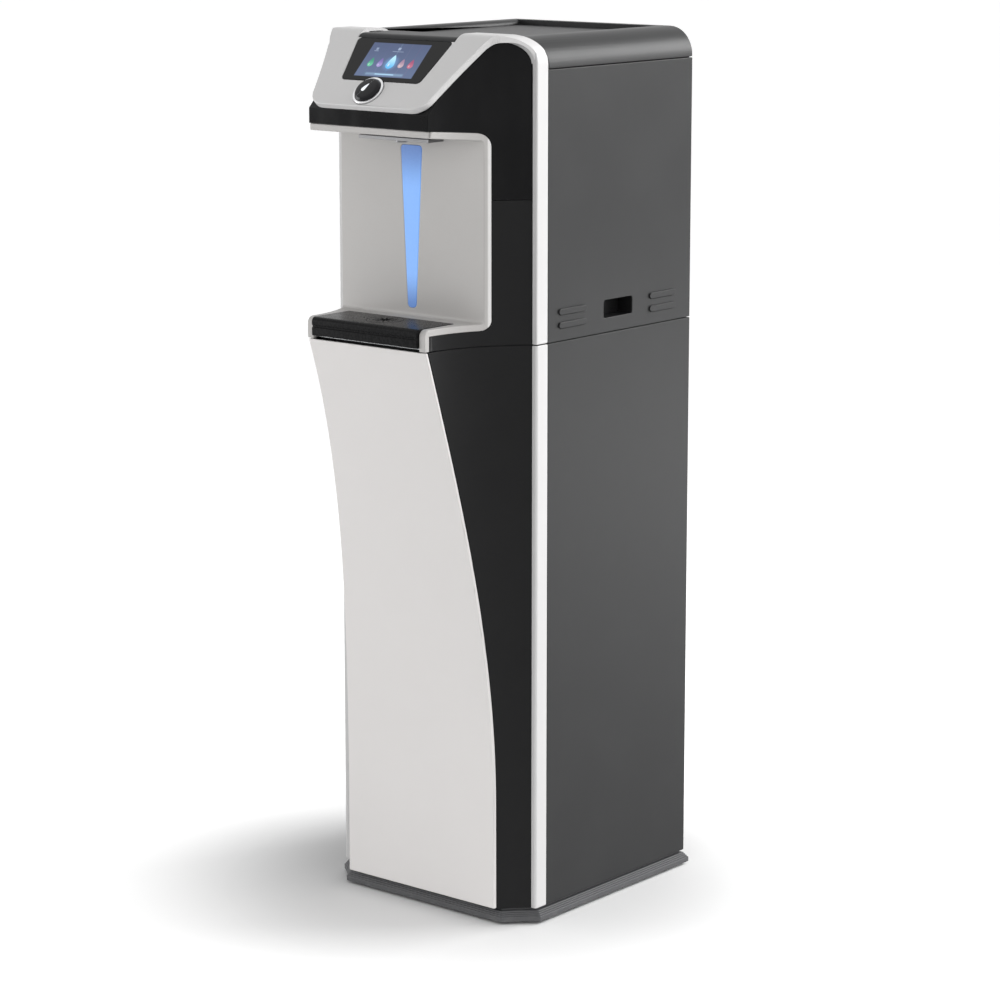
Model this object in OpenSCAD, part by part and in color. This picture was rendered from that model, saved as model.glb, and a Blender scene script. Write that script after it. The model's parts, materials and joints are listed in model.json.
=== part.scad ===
// Floor-standing water dispenser: a lower cabinet that holds the filters, and an upper unit with
// the niche, the touch console, the tanks and the cooling. +Z is up, -Y is the front, and the
// origin is on the floor under the middle of the object.

/* [Overall] */
// Height of the ridges of the top cover
overall_h = 1335; // [1305:5:1365]
// Width over the base skirt
overall_w = 400; // [390:2:412]
// Depth from the lip of the drip tray to the rear of the base skirt
overall_d = 544; // [536:2:560]
// How far the base skirt stands out from the panels
skirt_out = 6; // [5:0.5:8]
// How far the lip of the drip tray stands out from the nose
lip_out = 4; // [2:0.5:6]

/* [Levels] */
// Height of the panels' lower edge above the floor
base_h = 24; // [22:1:28]
// Height of the seam between the cabinet and the upper unit
cabinet_h = 885; // [870:5:895]
// Width of the open seams between panels
seam = 1.5; // [0.8:0.1:2]
// Height of the top cover, from its seam to the ridges
cover_h = 50; // [48:1:54]
// Distance from the ridges down to the underside of the head
head_drop = 133.5; // [131:0.5:138]
// Height of the niche shelf above the seam
shelf_rise = 32; // [30:1:36]

/* [Plan outline] */
// Width of the nose, the narrow front of the body
nose_w = 230; // [220:2:236]
// Depth of the concave cheeks, from the nose back to the trims
cheek_l = 146.9; // [140:0.1:152]
// Length of the straight sides of the nose
nose_l = 11; // [8:1:14]
// Width of the corner trims on the side face
trim_w = 26; // [22:1:30]
// Width of the corner trims on the front
trim_face_w = 9.5; // [8:0.5:12]
// Thickness of the corner trims
trim_t = 3.5; // [3:0.5:4.5]
// Radius of the rounded corner of the trims
trim_r = 4; // [3:0.5:5]

/* [Walls] */
// Wall thickness of the moulded shells
wall = 3; // [2.5:0.25:3.5]
// Thickness of the sheet steel panels
sheet = 1.5; // [1.2:0.1:2]
// Width of the panels' folded edges
fold = 16; // [12:1:18]
// Depth of the recess at the rear
recess = 30; // [28:1:36]
// Gap between a moving piece and its seat
play = 0.5; // [0.3:0.1:0.7]
// Radial clearance of the running fits
fit = 0.06; // [0.03:0.01:0.09]

/* [Front panel] */
// Setback of the front panel at its foot
door_back = 115; // [108:1:120]
// Height at which the front panel begins to curve forward
door_straight = 183; // [160:5:220]
// Setback of the front panel at its top
door_top_back = 1; // [0.5:0.5:4]
// Thickness of the front panel's skin
door_t = 5; // [4:0.5:6]
// Depth of the ribs behind the skin
rib_h = 12; // [8:1:13]
// Radius of the panel's ball studs
stud_r = 5; // [4:0.5:6]

/* [Console] */
// Tilt of the console from the horizontal
console_tilt = 44.4; // [43:0.2:46]
// Distance from the ridges down to the console's front edge
console_drop = 102.5; // [101:0.5:105]
// Thickness of the console frame
console_t = 11; // [10.5:0.5:12]
// Radius of the console's bend at the top
bend_r = 30; // [26:1:34]
// How far the arch stands above the cover and the inlay
arch_rise = 5; // [4:0.5:6]
// Radius of the arch between the console and the side trims
arch_r = 42; // [40:1:44]
// Radius of the console's concave side edges, seen from above
wing_r = 600; // [560:20:700]
// Radius of the console's lower corners
console_corner = 30; // [24:1:34]
// Width of the display glass at its lower edge
glass_w_low = 150; // [146:2:152]
// Width of the display glass at its upper edge
glass_w_top = 184; // [180:2:188]
// Distance up the slope from the console's edge to the glass
glass_s = 49; // [48.5:0.5:50]
// Height of the glass along the slope
glass_h = 81; // [79:0.5:81.5]
// Thickness of the display glass
glass_t = 3; // [2:0.5:3.5]
// Width of the display
lcd_w = 112; // [108:1:116]
// Height of the display
lcd_h = 66; // [63:1:67]
// Thickness of the display module
lcd_t = 8; // [6:0.5:9]
// Diameter of the dispense button
button_d = 42; // [38:0.5:43]
// Distance up the slope from the console's edge to the button's middle
button_s = 29; // [28.5:0.5:30]
// Distance from the console's middle to the button's middle, to the left
button_left = 9; // [0:1:12]
// How far the dispense button stands out
button_out = 8; // [6:0.5:9]
// Travel of the dispense button
button_travel = 2; // [1.5:0.1:2.5]

/* [Niche] */
// Setback of the niche wall from the nose
niche_d = 104; // [98:1:108]
// Thickness of the niche liner's rim
rim_t = 10; // [9:0.5:12]
// Width of the light lens at its top
lens_w_top = 40; // [36:1:44]
// Width of the light lens at its foot
lens_w_low = 15; // [12:1:18]
// Height of the light lens
lens_h = 240; // [225:5:245]
// Width of the drip tray
tray_w = 206; // [196:2:210]
// Depth of the drip tray behind the nose
tray_back = 79; // [72:1:84]
// Diameter of the round drain insert
drain_d = 55; // [50:1:60]
// Width of the nozzle plate
nozzle_plate_w = 136; // [120:2:144]

/* [Cabinet] */
// Radius of the levelling feet's threads
foot_stud_r = 4; // [3:0.5:5]
// Radius of the levelling feet's pads
foot_pad_r = 18; // [15:1:20]
// Radius of the filter cartridges
filter_r = 36; // [32:1:37]
// Length of the filter cartridges
filter_l = 310; // [260:10:360]
// Distance between the two filter cartridges
filter_pitch = 84; // [80:1:90]

/* [Upper unit] */
// Radius of the cold tank
cold_r = 70; // [62:1:74]
// Distance from the head's underside down to the top of the cold tank
cold_drop = 51.5; // [48:0.5:90]
// Thickness of the foam jacket
foam_t = 24; // [20:1:26]
// Radius of the hot tank
hot_r = 58; // [50:1:60]
// Height of the hot tank
hot_h = 200; // [170:10:230]
// Clear space between the compressor and the tubes in front of it
comp_gap = 12; // [10:0.5:20]
// Height of the compressor's shell
comp_h = 130; // [115:5:145]
// Outer radius of the water tubes
tube_r = 4; // [3.2:0.2:4.4]
// Number of straight runs of the condenser
cond_runs = 12; // [8:1:12]
// Distance from the cover down to the condenser's top run
cond_gap = 33.5; // [30:0.5:60]
// Length of the louvres
louvre_l = 66; // [56:2:72]
// Height of the louvres
louvre_h = 9; // [8:0.5:11]
// How far the louvres' hoods stand out
louvre_out = 2.5; // [2:0.1:3]
// Width of the hand holes
hand_w = 70; // [64:2:80]
// Height of the hand holes
hand_h = 27; // [24:1:30]

/* [Hidden] */
$fn = 64;
arc_fn = 180;
big_fn = 720;
eps = 0.01;

// Planes of the body
body_w = overall_w - 2*skirt_out;
half = body_w/2;
y_nose = -overall_d/2 + lip_out;
y_rear = overall_d/2 - skirt_out;
body_d = y_rear - y_nose;
function fy(d) = y_nose + d;
far = 2*overall_h;

// Cheek arcs and corner trims in plan
trim_x = half - trim_face_w;
cheek_side = trim_x - nose_w/2;
cheek_r = (cheek_side*cheek_side + cheek_l*cheek_l)/(2*cheek_side);
cheek_x = nose_w/2 + cheek_r;
trim_d = nose_l + cheek_l;
side_d = trim_d + trim_w;

// Levels
panel_top = cabinet_h - seam;
deck_t = 3;
deck_rim = 13;
upper_z = cabinet_h;
chassis_z = upper_z + sheet;
chassis_t = 3;
floor_z = chassis_z + chassis_t;
shelf_z = cabinet_h + shelf_rise;
cover_z = overall_h - cover_h;
side_top = cover_z - seam;
head_z = overall_h - head_drop;
frame_top = overall_h;
cover_top = overall_h - arch_rise;

// Front panel curve: an arc that leaves the vertical at door_straight
door_rise = cabinet_h - door_straight;
door_sweep = door_back - door_top_back;
door_r = (door_rise*door_rise + door_sweep*door_sweep)/(2*door_sweep);
function face_d(z) = z <= door_straight ? door_back
    : door_back - door_r + sqrt(door_r*door_r - (z - door_straight)*(z - door_straight));
door_z0 = base_h + 1;

// Catches of the front panel: [x, z, width of the bar that carries them]
catch_w = 24;
catch_z_low = base_h + 40;
catch_z_top = panel_top - 40;
catch_x_low = 100;
catch_x_top = 60;
catch_gap = door_t + rib_h + 1;
catch_l = 16;
bar_t = 3;
bar_h = 20;

// Frame of the cabinet
upright = 22;
frame_t = 2;
frame_top_z = cabinet_h - deck_rim;
front_up_d = side_d + sheet;
rear_pan_y = y_rear - recess;

// Feet: height of pad and plinth
foot_pad_h = 5;
plinth_z = 4;
plinth_top = base_h;
pedestal_in = 5;
plinth_front_d = door_back + 11;
foot_front = [half - 69, plinth_front_d + 38];
foot_rear = [half - 34, body_d - 36];
foot_travel = 10;

// Filters
filter_d = front_up_d + 45;
filter_head_z = cabinet_h - 85;
filter_head_h = 50;
filter_head_w = filter_pitch + 2*filter_r + 4;
filter_head_d = 2*filter_r - 12;
neck_r = 20;
neck_h = 20;
filter_plate_d = filter_d + filter_head_d/2;

// Water fittings
inlet_x = half - 84;
inlet_z = base_h + 90;
thread_r = 8.33;
reg_size = 40;
reg_y = rear_pan_y - 18 - reg_size/2;
port_z = filter_head_z + filter_head_h/2;
tube_bend = 14;

// Upper unit: the room behind the niche, and the places in it. The tanks and the valve block
// follow the niche, and the compressor fills the depth between their tubes and the rear panel.
room_front = fy(niche_d + rim_t);
foam_r = cold_r + foam_t;
jacket_side = 10;
jacket_front = 20;
cold_p = [-(half - jacket_side - foam_r), room_front + jacket_front + foam_r];
hot_side = 28;
hot_front = 42;
hot_port = 8;
hot_p = [half - hot_side - hot_r, room_front + hot_front + hot_r];
valve_w = 100;
valve_l = 44;
valve_h = 30;
valve_side = 36;
jacket_gap = 36;
valve_p = [-(half - valve_side - valve_w/2), cold_p[1] + foam_r + jacket_gap + valve_l/2];
lane = 20;
lane_y = valve_p[1] - valve_l/2 - lane;
comp_side = 34;
comp_rear = 34;
comp_lug = 12;
comp_r = (rear_pan_y - comp_rear - lane_y - comp_gap)/2;
comp_p = [half - comp_side - comp_lug - comp_r, rear_pan_y - comp_rear - comp_r];
comp_z = floor_z + 12;
cold_z = floor_z + foam_t;
cold_h = head_z - cold_drop - cold_z;
foam_top = cold_z + cold_h + foam_t;
stub_top = foam_top + 15;
top_run_z = head_z + 35;
hot_z = floor_z + 40;
hot_port_z = hot_z + 35;

// Condenser in the recess
cond_tube_r = 2.5;
cond_wire_r = 0.8;
cond_half = 136;
cond_y = rear_pan_y + sheet + 13;
cond_z = floor_z + 120;
cond_pitch = (cover_z - cond_gap - cond_z)/(cond_runs - 1);
wire_pitch = 16;

// Mains side of the rear panel
mains_x = half - 74;
mains_z = floor_z + 45;
mains_w = 50;
mains_h = 30;
supply_w = 110;
supply_l = 44;
supply_h = 110;
supply_side = 34;
switch_z = mains_z;
switch_x = [mains_x - 70, mains_x - 45];
rocker_w = 14;
rocker_h = 20;
rocker_pin_r = 1.5;
rocker_hole_r = rocker_pin_r + fit;
line_x = comp_p[0];
line_z = comp_z + 60;

// Nozzle
nozzle_d = niche_d - 22;
nozzle_r = 9;
nozzle_plate_d = 34;
nozzle_plate_t = 5;
wall_fillet = 5;

// Side panel details, measured from the panel's front edge
louvre_front = 57;
louvre_rear = 278;
louvre_z = upper_z + 33;
louvre_pitch = 20;
hand_mid = 168;
hand_z = upper_z + 35;
cup_depth = 28;
cup_rim = 5;

// Niche liner
head_slope = 8;
niche_out_d = niche_d + rim_t;

// Height of the niche's sloping ceiling
function ceiling(d) = head_z - rim_t - head_slope*(d - rim_t)/(niche_d - rim_t);

// Console
console_z = overall_h - console_drop;
tan_tilt = tan(console_tilt);
bend_d = (frame_top - console_z)/tan_tilt;
head_front = 8;
frame_skin = 4;
frame_under = 3;
top_gap_w = 260;
inlay_t = 4;
inlay_drop = 8;
ledge_w = 20;
ridge_r = 8;
rear_rim = 18;
stem_r = 4;
ring_r = button_d/2 + 4;
button_p = [-button_left, button_s];
neck_w = glass_w_top + 4;
cup_r = button_d/2 + 1.6;
cup_in_r = button_d/2 + 0.4;
cup_bottom = 14;

// Helpers

// Points of an arc round c
function arc(c, r, a0, a1, n = 12) =
    [for (i = [0:n]) c + r*[cos(a0 + (a1 - a0)*i/n), sin(a0 + (a1 - a0)*i/n)]];

function unit(v) = v/norm(v);

// The corner at b of the path a, b, c, rounded with radius r
function corner(a, b, c, r, n = 8) =
    let (u = unit(a - b), v = unit(c - b), h = acos(u*v)/2, m = b + unit(u + v)*r/sin(h),
        s = b + u*r/tan(h) - m, e = b + v*r/tan(h) - m,
        a0 = atan2(s[1], s[0]), turn = atan2(e[1], e[0]) - a0,
        da = turn > 180 ? turn - 360 : turn < -180 ? turn + 360 : turn)
    arc(m, r, a0, a0 + da, n);

// A closed path [[point, radius], ...] with its corners rounded
function rounded(p) = let (n = len(p))
    [for (i = [0:n - 1]) each (p[i][1] == 0 ? [p[i][0]]
        : corner(p[(i + n - 1) % n][0], p[i][0], p[(i + 1) % n][0], p[i][1]))];

// A plan outline, extruded upward
module prism(z0, z1) {
    translate([0, 0, z0]) linear_extrude(z1 - z0) children();
}

// A side outline (Y, Z), extruded across the whole width w
module across(w = 2*overall_w) {
    translate([-w/2, 0, 0]) rotate([90, 0, 90]) linear_extrude(w) children();
}

// A front outline (X, Z), extruded from y0 to y1
module along(y0, y1) {
    translate([0, y1, 0]) rotate([90, 0, 0]) linear_extrude(y1 - y0) children();
}

module on_side(side) {
    if (side < 0) mirror([1, 0, 0]) children();
    else children();
}

module both() {
    children();
    mirror([1, 0, 0]) children();
}

// A box from its lowest to its highest corner
module block(a, b) {
    translate(a) cube(b - a);
}

// Plan outline of the body, inset by t, and by ft at the front
module plan(t = 0, ft = undef) {
    front = ft == undef ? t : ft;
    difference() {
        translate([-half + t, y_nose + front]) square([body_w - 2*t, body_d - t - front]);
        for (s = [-1, 1]) {
            translate([s*cheek_x, fy(nose_l)]) circle(cheek_r + t, $fn = arc_fn);
            translate([s*(nose_w/2 - t + cheek_r) - cheek_r, y_nose - far])
                square([2*cheek_r, nose_l + far]);
        }
    }
}

// Points (Y, Z) of the front panel's face, set back by t, from the floor up
function face_points(t, n = 40) = concat([[fy(door_back) + t, 0]],
    arc([fy(door_back) - door_r, door_straight], door_r + t, 0, asin(door_rise/door_r), n));

// Side outline of all that lies at least t behind the front panel's face
module behind_face(t) {
    polygon(concat(face_points(t), [[y_rear, cabinet_h], [y_rear, 0]]));
}

module face_band(t0, t1) {
    p = face_points(t1);
    polygon(concat(face_points(t0), [for (i = [len(p) - 1:-1:0]) p[i]]));
}

// A tube of radius r along points joined by square bends
module pipe(p, r = tube_r, bend = tube_bend) {
    n = len(p) - 1;
    for (i = [0:n - 1]) {
        u = unit(p[i + 1] - p[i]);
        a = p[i] + (i == 0 ? 0 : bend)*u;
        l = norm(p[i + 1] - a) - (i == n - 1 ? 0 : bend);
        multmatrix(facing(a, u)) cylinder(r = r, h = l);
    }
    for (i = [1:1:n - 1]) {
        u = unit(p[i] - p[i - 1]);
        v = unit(p[i + 1] - p[i]);
        w = cross(u, v);
        c = p[i] + bend*(v - u);
        multmatrix([[-v[0], u[0], w[0], c[0]], [-v[1], u[1], w[1], c[1]], [-v[2], u[2], w[2], c[2]]])
            rotate_extrude(angle = 90) translate([bend, 0]) circle(r);
    }
}

// The frame at point a whose Z axis points along u, one of the row axes or its opposite
function facing(a, u) =
    let (v = abs(u[2]) > 0.5 ? [1, 0, 0] : [0, 0, 1], w = cross(u, v))
    [[v[0], w[0], u[0], a[0]], [v[1], w[1], u[1], a[1]], [v[2], w[2], u[2], a[2]]];

// A bar with round ends, of length l along the first axis and height h
module stadium(l, h) {
    square([l - h, h], center = true);
    for (s = [-1, 1]) translate([s*(l - h)/2, 0]) circle(h/2);
}

// Into the console's own frame: X across, Y up the slope, Z out of its face
module on_console(s = 0, n = 0) {
    translate([0, y_nose, console_z]) rotate([console_tilt, 0, 0]) translate([0, s, n]) children();
}

// On the console's face at the dispense button
module at_button() {
    on_console(button_p[1]) translate([button_p[0], 0, 0]) children();
}

// Base

module base_plinth() {
    color([0.24, 0.24, 0.25]) difference() {
        union() {
            // The skirt slopes in by four small steps
            for (i = [0:3]) {
                top = plinth_z + 6 + 2.5*(i + 1);
                prism(plinth_z, top) plinth_plan(-skirt_out + i*(skirt_out - 0.5)/3);
            }
            prism(plinth_z, plinth_top) plinth_plan(pedestal_in);
        }
        difference() {
            prism(plinth_z - 1, plinth_top - wall) plinth_plan(pedestal_in + wall);
            for (p = foot_places()) translate([p[0], p[1], plinth_z + 9]) cylinder(r = 13, h = 30);
        }
        for (p = foot_places()) translate([p[0], p[1], 0]) cylinder(r = foot_stud_r + fit, h = 60);
    }
}

module plinth_plan(t) {
    intersection() {
        plan(t);
        translate([-overall_w, fy(plinth_front_d) + t]) square([2*overall_w, 2*overall_d]);
    }
}

function foot_places() = [
    for (s = [-1, 1]) [s*foot_front[0], fy(foot_front[1])],
    for (s = [-1, 1]) [s*foot_rear[0], fy(foot_rear[1])]
];

module foot(p) {
    color([0.12, 0.12, 0.12]) translate([p[0], p[1], 0]) {
        cylinder(r1 = foot_pad_r, r2 = foot_pad_r - 4, h = foot_pad_h);
        translate([0, 0, foot_pad_h - eps]) cylinder(r = 7.5, h = 6, $fn = 6);
        cylinder(r = foot_stud_r, h = plinth_top + foot_travel + 2);
    }
}

module foot_front_left() foot(foot_places()[0]);
module foot_front_right() foot(foot_places()[1]);
module foot_rear_left() foot(foot_places()[2]);
module foot_rear_right() foot(foot_places()[3]);

// Cabinet

module cabinet_frame() {
    z0 = base_h + sheet;
    color([0.55, 0.56, 0.58]) {
        both() {
            // Uprights of folded angle
            block([half - sheet - frame_t, fy(front_up_d), z0],
                [half - sheet, fy(front_up_d + upright), frame_top_z]);
            block([half - sheet - upright, fy(front_up_d), z0],
                [half - sheet, fy(front_up_d + frame_t), frame_top_z]);
            block([half - sheet - frame_t, y_rear - 2*sheet - upright, z0],
                [half - sheet, y_rear - 2*sheet, frame_top_z]);
            block([half - fold + sheet, y_rear - 2*sheet - frame_t, z0],
                [half - sheet, y_rear - 2*sheet, frame_top_z]);
            // Side rails at the foot and under the deck
            for (z = [z0, frame_top_z - bar_h])
                block([half - sheet - bar_t, fy(front_up_d), z],
                    [half - sheet, y_rear - 2*sheet, z + bar_h]);
            rail_arm(catch_z_low, catch_x_low + 50);
            rail_arm(catch_z_top, catch_x_top + 35);
        }
        catch_bar(catch_z_low, catch_x_low + 50);
        catch_bar(catch_z_top, catch_x_top + 35);
        // Cross rail between the front uprights, under the deck
        block([-half + sheet, fy(front_up_d), frame_top_z - bar_h],
            [half - sheet, fy(front_up_d + frame_t), frame_top_z]);
    }
}

function bar_d(z) = face_d(z) + catch_gap + catch_l;

module catch_bar(z, w) {
    block([-w, fy(bar_d(z)), z - bar_h/2], [w, fy(bar_d(z) + bar_t), z + bar_h/2]);
}

// One arm from a catch bar back to the front upright
module rail_arm(z, w) {
    block([w - bar_t, fy(bar_d(z)), z - bar_h/2], [w, fy(front_up_d + frame_t), z + bar_h/2]);
    block([w - bar_t, fy(front_up_d), z - bar_h/2], [half - sheet, fy(front_up_d + frame_t), z + bar_h/2]);
}

// A side panel with folded front, rear and lower edges
module side_panel(z0, z1, top_fold) {
    block([half - sheet, fy(side_d), z0], [half, y_rear, z1]);
    block([half - fold, fy(side_d), z0], [half, fy(side_d) + sheet, z1]);
    block([half - fold, y_rear - sheet, z0], [half, y_rear, z1]);
    block([half - fold, fy(side_d), z0], [half, y_rear, z0 + sheet]);
    if (top_fold) block([half - fold, fy(side_d), z1 - sheet], [half, y_rear, z1]);
}

module lower_side_panel(side) {
    color([0.23, 0.23, 0.24]) on_side(side) side_panel(base_h, panel_top, false);
}

module lower_side_panel_left() lower_side_panel(-1);
module lower_side_panel_right() lower_side_panel(1);

// A rear panel set into the recess, with lips against the side panels' folds
module rear_pan(z0, z1) {
    pan = half - fold - 4;
    block([-pan, rear_pan_y, z0], [pan, rear_pan_y + sheet, z1]);
    for (z = [z0, z1 - sheet]) block([-pan, rear_pan_y, z], [pan, y_rear - sheet, z + sheet]);
    both() {
        block([pan - sheet, rear_pan_y, z0], [pan, y_rear - sheet, z1]);
        block([pan - sheet, y_rear - 2*sheet, z0], [half - sheet - 1, y_rear - sheet, z1]);
    }
}

module lower_rear_panel() {
    color([0.2, 0.2, 0.21]) difference() {
        rear_pan(base_h + sheet, frame_top_z);
        at_inlet() cylinder(r = thread_r + 0.2, h = 80, center = true);
    }
}

module at_inlet() {
    translate([inlet_x, rear_pan_y, inlet_z]) rotate([-90, 0, 0]) children();
}

// The concave shell between the nose and the corner trim
module cheek_wall(t = wall) {
    difference() {
        intersection() {
            plan(0);
            translate([nose_w/2 - t, y_nose]) square([trim_x - nose_w/2 + t, trim_d + 12]);
        }
        plan(t, -1);
        translate([-far, y_nose - 1]) square([far + nose_w/2 - t, body_d + 2]);
    }
}

module lower_cheek(side) {
    color([0.1, 0.1, 0.1]) on_side(side) intersection() {
        union() {
            prism(base_h, panel_top) cheek_wall();
            prism(base_h, base_h + wall) cheek_wall(12);
            // Land behind the front panel's edge
            intersection() {
                prism(base_h, frame_top_z - 1) cheek_wall(15);
                across() face_band(door_t + play, door_t + play + wall);
            }
        }
        across() behind_face(door_t + play);
    }
}

module lower_cheek_left() lower_cheek(-1);
module lower_cheek_right() lower_cheek(1);

// Plan section of the corner trim
module trim_plan() {
    polygon(rounded([
        [[trim_x, fy(trim_d)], 0], [[half, fy(trim_d)], trim_r], [[half, fy(side_d)], 0],
        [[half - trim_t, fy(side_d)], 0], [[half - trim_t, fy(trim_d + trim_t)], 0],
        [[trim_x, fy(trim_d + trim_t)], 0]
    ]));
}

module lower_trim(side) {
    color([0.88, 0.88, 0.88]) on_side(side) {
        prism(base_h, panel_top) trim_plan();
        block([trim_x, fy(trim_d + trim_t) - 1, base_h], [half - trim_t + 1, fy(side_d), base_h + wall]);
    }
}

module lower_trim_left() lower_trim(-1);
module lower_trim_right() lower_trim(1);

module front_panel() {
    rib_in = 19;
    color([0.9, 0.89, 0.88]) {
        intersection() {
            prism(door_z0, panel_top) plan(0);
            across() face_band(0, door_t);
        }
        // Ribs behind the skin
        intersection() {
            union() {
                difference() {
                    prism(door_z0 + 8, frame_top_z - 12) plan(rib_in, 0);
                    prism(door_z0, frame_top_z) plan(rib_in + wall, -1);
                }
                for (i = [0:5]) {
                    z = door_z0 + 8 + i*(frame_top_z - 20 - wall - door_z0)/5;
                    prism(z, z + wall) plan(rib_in, 0);
                }
            }
            across() face_band(door_t - 1, door_t + rib_h);
        }
        at_catches() {
            translate([0, 0, -catch_gap - rib_h]) cylinder(r = stud_r, h = catch_gap + rib_h + 11);
            translate([0, 0, -catch_gap - rib_h]) cylinder(r = stud_r + 4, h = catch_gap + rib_h - 2);
        }
    }
}

// Each catch's own frame: Z points to the rear, from the catch's front face
module at_catches() {
    for (c = [[catch_x_low, catch_z_low], [catch_x_top, catch_z_top]], s = [-1, 1])
        intersection() {
            translate([s*c[0], fy(face_d(c[1]) + catch_gap), c[1]]) rotate([-90, 0, 0]) children();
            across() behind_face(door_t - 1);
        }
}

module panel_catches() {
    color([0.8, 0.8, 0.78]) at_catches() difference() {
        translate([-catch_w/2, -catch_w/2, 0]) cube([catch_w, catch_w, catch_l]);
        translate([0, 0, -1]) cylinder(r = stud_r + fit, h = 14);
    }
}

module deck_plate() {
    deck_in = 4;
    front_d = face_d(frame_top_z) + door_t + rib_h + 6;
    color([0.5, 0.51, 0.52]) difference() {
        intersection() {
            union() {
                prism(cabinet_h - deck_t, cabinet_h) plan(deck_in);
                difference() {
                    prism(frame_top_z, cabinet_h) plan(deck_in);
                    prism(frame_top_z - 1, cabinet_h - deck_t) plan(deck_in + wall, front_d + wall);
                }
            }
            block([-far, fy(front_d), 0], [far, y_rear, far]);
        }
        tube_hole();
        fold_slots();
    }
}

// Where the filtered water passes up into the upper unit
module tube_hole() {
    translate([valve_p[0], valve_p[1], frame_top_z]) cylinder(r = tube_r + 3, h = 40);
}

// Slots in the edges of a plate, for the front folds of the side panels
module fold_slots() {
    both() block([half - fold - seam/2, fy(side_d) - seam/2, 0], [far, fy(side_d) + sheet + seam/2, far]);
}

module filter_bracket() {
    y = fy(filter_plate_d);
    top = cabinet_h - deck_t;
    color([0.6, 0.61, 0.62]) {
        block([-filter_head_w/2, y, filter_head_z], [filter_head_w/2, y + sheet, top]);
        block([-filter_head_w/2, y - 28, top - sheet], [filter_head_w/2, y + sheet, top]);
    }
}

module filter_head() {
    color([0.85, 0.86, 0.88]) difference() {
        union() {
            translate([0, fy(filter_d), filter_head_z])
                linear_extrude(filter_head_h) polygon(rounded([for (c = [[1, 1], [-1, 1], [-1, -1], [1, -1]])
                    [[c[0]*filter_head_w/2, c[1]*filter_head_d/2], 6]]));
            for (s = [-1, 1]) multmatrix(facing([s*filter_head_w/2, fy(filter_d), port_z], [s, 0, 0]))
                translate([0, 0, -1]) cylinder(r = 9, h = 9);
        }
        both() translate([filter_pitch/2, fy(filter_d), filter_head_z - 1])
            cylinder(r = neck_r + fit, h = neck_h + 2);
        multmatrix(facing([-far/2, fy(filter_d), port_z], [1, 0, 0])) cylinder(r = 3, h = far);
    }
}

module filter_cartridge(side) {
    color([0.93, 0.94, 0.95]) translate([side*filter_pitch/2, fy(filter_d), filter_head_z]) {
        rotate_extrude() polygon(rounded([
            [[0, neck_h], 0], [[neck_r, neck_h], 1.5], [[neck_r, -play], 0], [[filter_r, -play], 8],
            [[filter_r, -filter_l], 10], [[0, -filter_l], 0]
        ]));
        // Grip at the foot for the quarter turn
        translate([0, 0, -filter_l - 9]) linear_extrude(10) square([1.5*filter_r, 9], center = true);
    }
}

module filter_cartridge_left() filter_cartridge(-1);
module filter_cartridge_right() filter_cartridge(1);

module inlet_fitting() {
    color([0.72, 0.6, 0.3]) at_inlet() difference() {
        union() {
            translate([0, 0, -18]) cylinder(r = thread_r, h = 18 + sheet + 24);
            translate([0, 0, sheet]) cylinder(r = 14, h = 6, $fn = 6);
            translate([0, 0, -5]) cylinder(r = 13.5, h = 5, $fn = 6);
        }
        translate([0, 0, -19]) cylinder(r = 4.5, h = 60);
    }
}

module pressure_regulator() {
    h = reg_size/2;
    color([0.7, 0.7, 0.68]) difference() {
        translate([inlet_x, reg_y, inlet_z]) {
            translate([-h, -h, -h]) cube(reg_size);
            translate([0, 0, -h - 22]) cylinder(r = 15, h = 23);
        }
        translate([inlet_x, reg_y, inlet_z]) cylinder(r = 2.5, h = h + 1);
    }
}

module supply_tube() {
    color([0.95, 0.95, 0.95]) pipe([
        [inlet_x, reg_y, inlet_z + reg_size/2], [inlet_x, reg_y, port_z], [inlet_x, fy(filter_d), port_z],
        [filter_head_w/2 + 8, fy(filter_d), port_z]
    ], bend = 8);
}

module filtered_tube() {
    color([0.3, 0.5, 0.85]) pipe([
        [-filter_head_w/2 - 8, fy(filter_d), port_z], [valve_p[0], fy(filter_d), port_z],
        [valve_p[0], valve_p[1], port_z], [valve_p[0], valve_p[1], floor_z + 8]
    ], bend = 10);
}

// Upper unit

module chassis_base() {
    color([0.5, 0.51, 0.52]) difference() {
        intersection() {
            prism(chassis_z, floor_z) plan(4);
            block([-far, fy(rim_t + play), 0], [far, y_rear, far]);
        }
        tube_hole();
        fold_slots();
    }
}

module upper_side_panel(side) {
    color([0.23, 0.23, 0.24]) on_side(side) difference() {
        union() {
            side_panel(upper_z, side_top, true);
            at_louvres() stadium(louvre_l, louvre_h);
        }
        at_louvres(-1, 1.2) translate([0, -1.4]) stadium(louvre_l - 3, louvre_h - 2);
        at_hand() linear_extrude(40, center = true) hand_outline(0);
    }
}

// Outlines on the side face, drawn as (Y, Z) and extruded outward; cap is the hood's thickness
module at_louvres(start = 0, cap = 0) {
    for (l = [louvre_front, louvre_rear], i = [0, 1])
        translate([half - sheet + start, fy(side_d + l), louvre_z + (i - 0.5)*louvre_pitch])
            rotate([90, 0, 90]) linear_extrude(sheet + louvre_out - start - cap) children();
}

module at_hand() {
    translate([half, fy(side_d + hand_mid), hand_z]) rotate([90, 0, 90]) children();
}

module hand_outline(t) {
    polygon(rounded([for (c = [[1, 1], [-1, 1], [-1, -1], [1, -1]])
        [[c[0]*(hand_w/2 + t), c[1]*(hand_h/2 + t)], 4 + t]]));
}

module upper_side_panel_left() upper_side_panel(-1);
module upper_side_panel_right() upper_side_panel(1);

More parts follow.
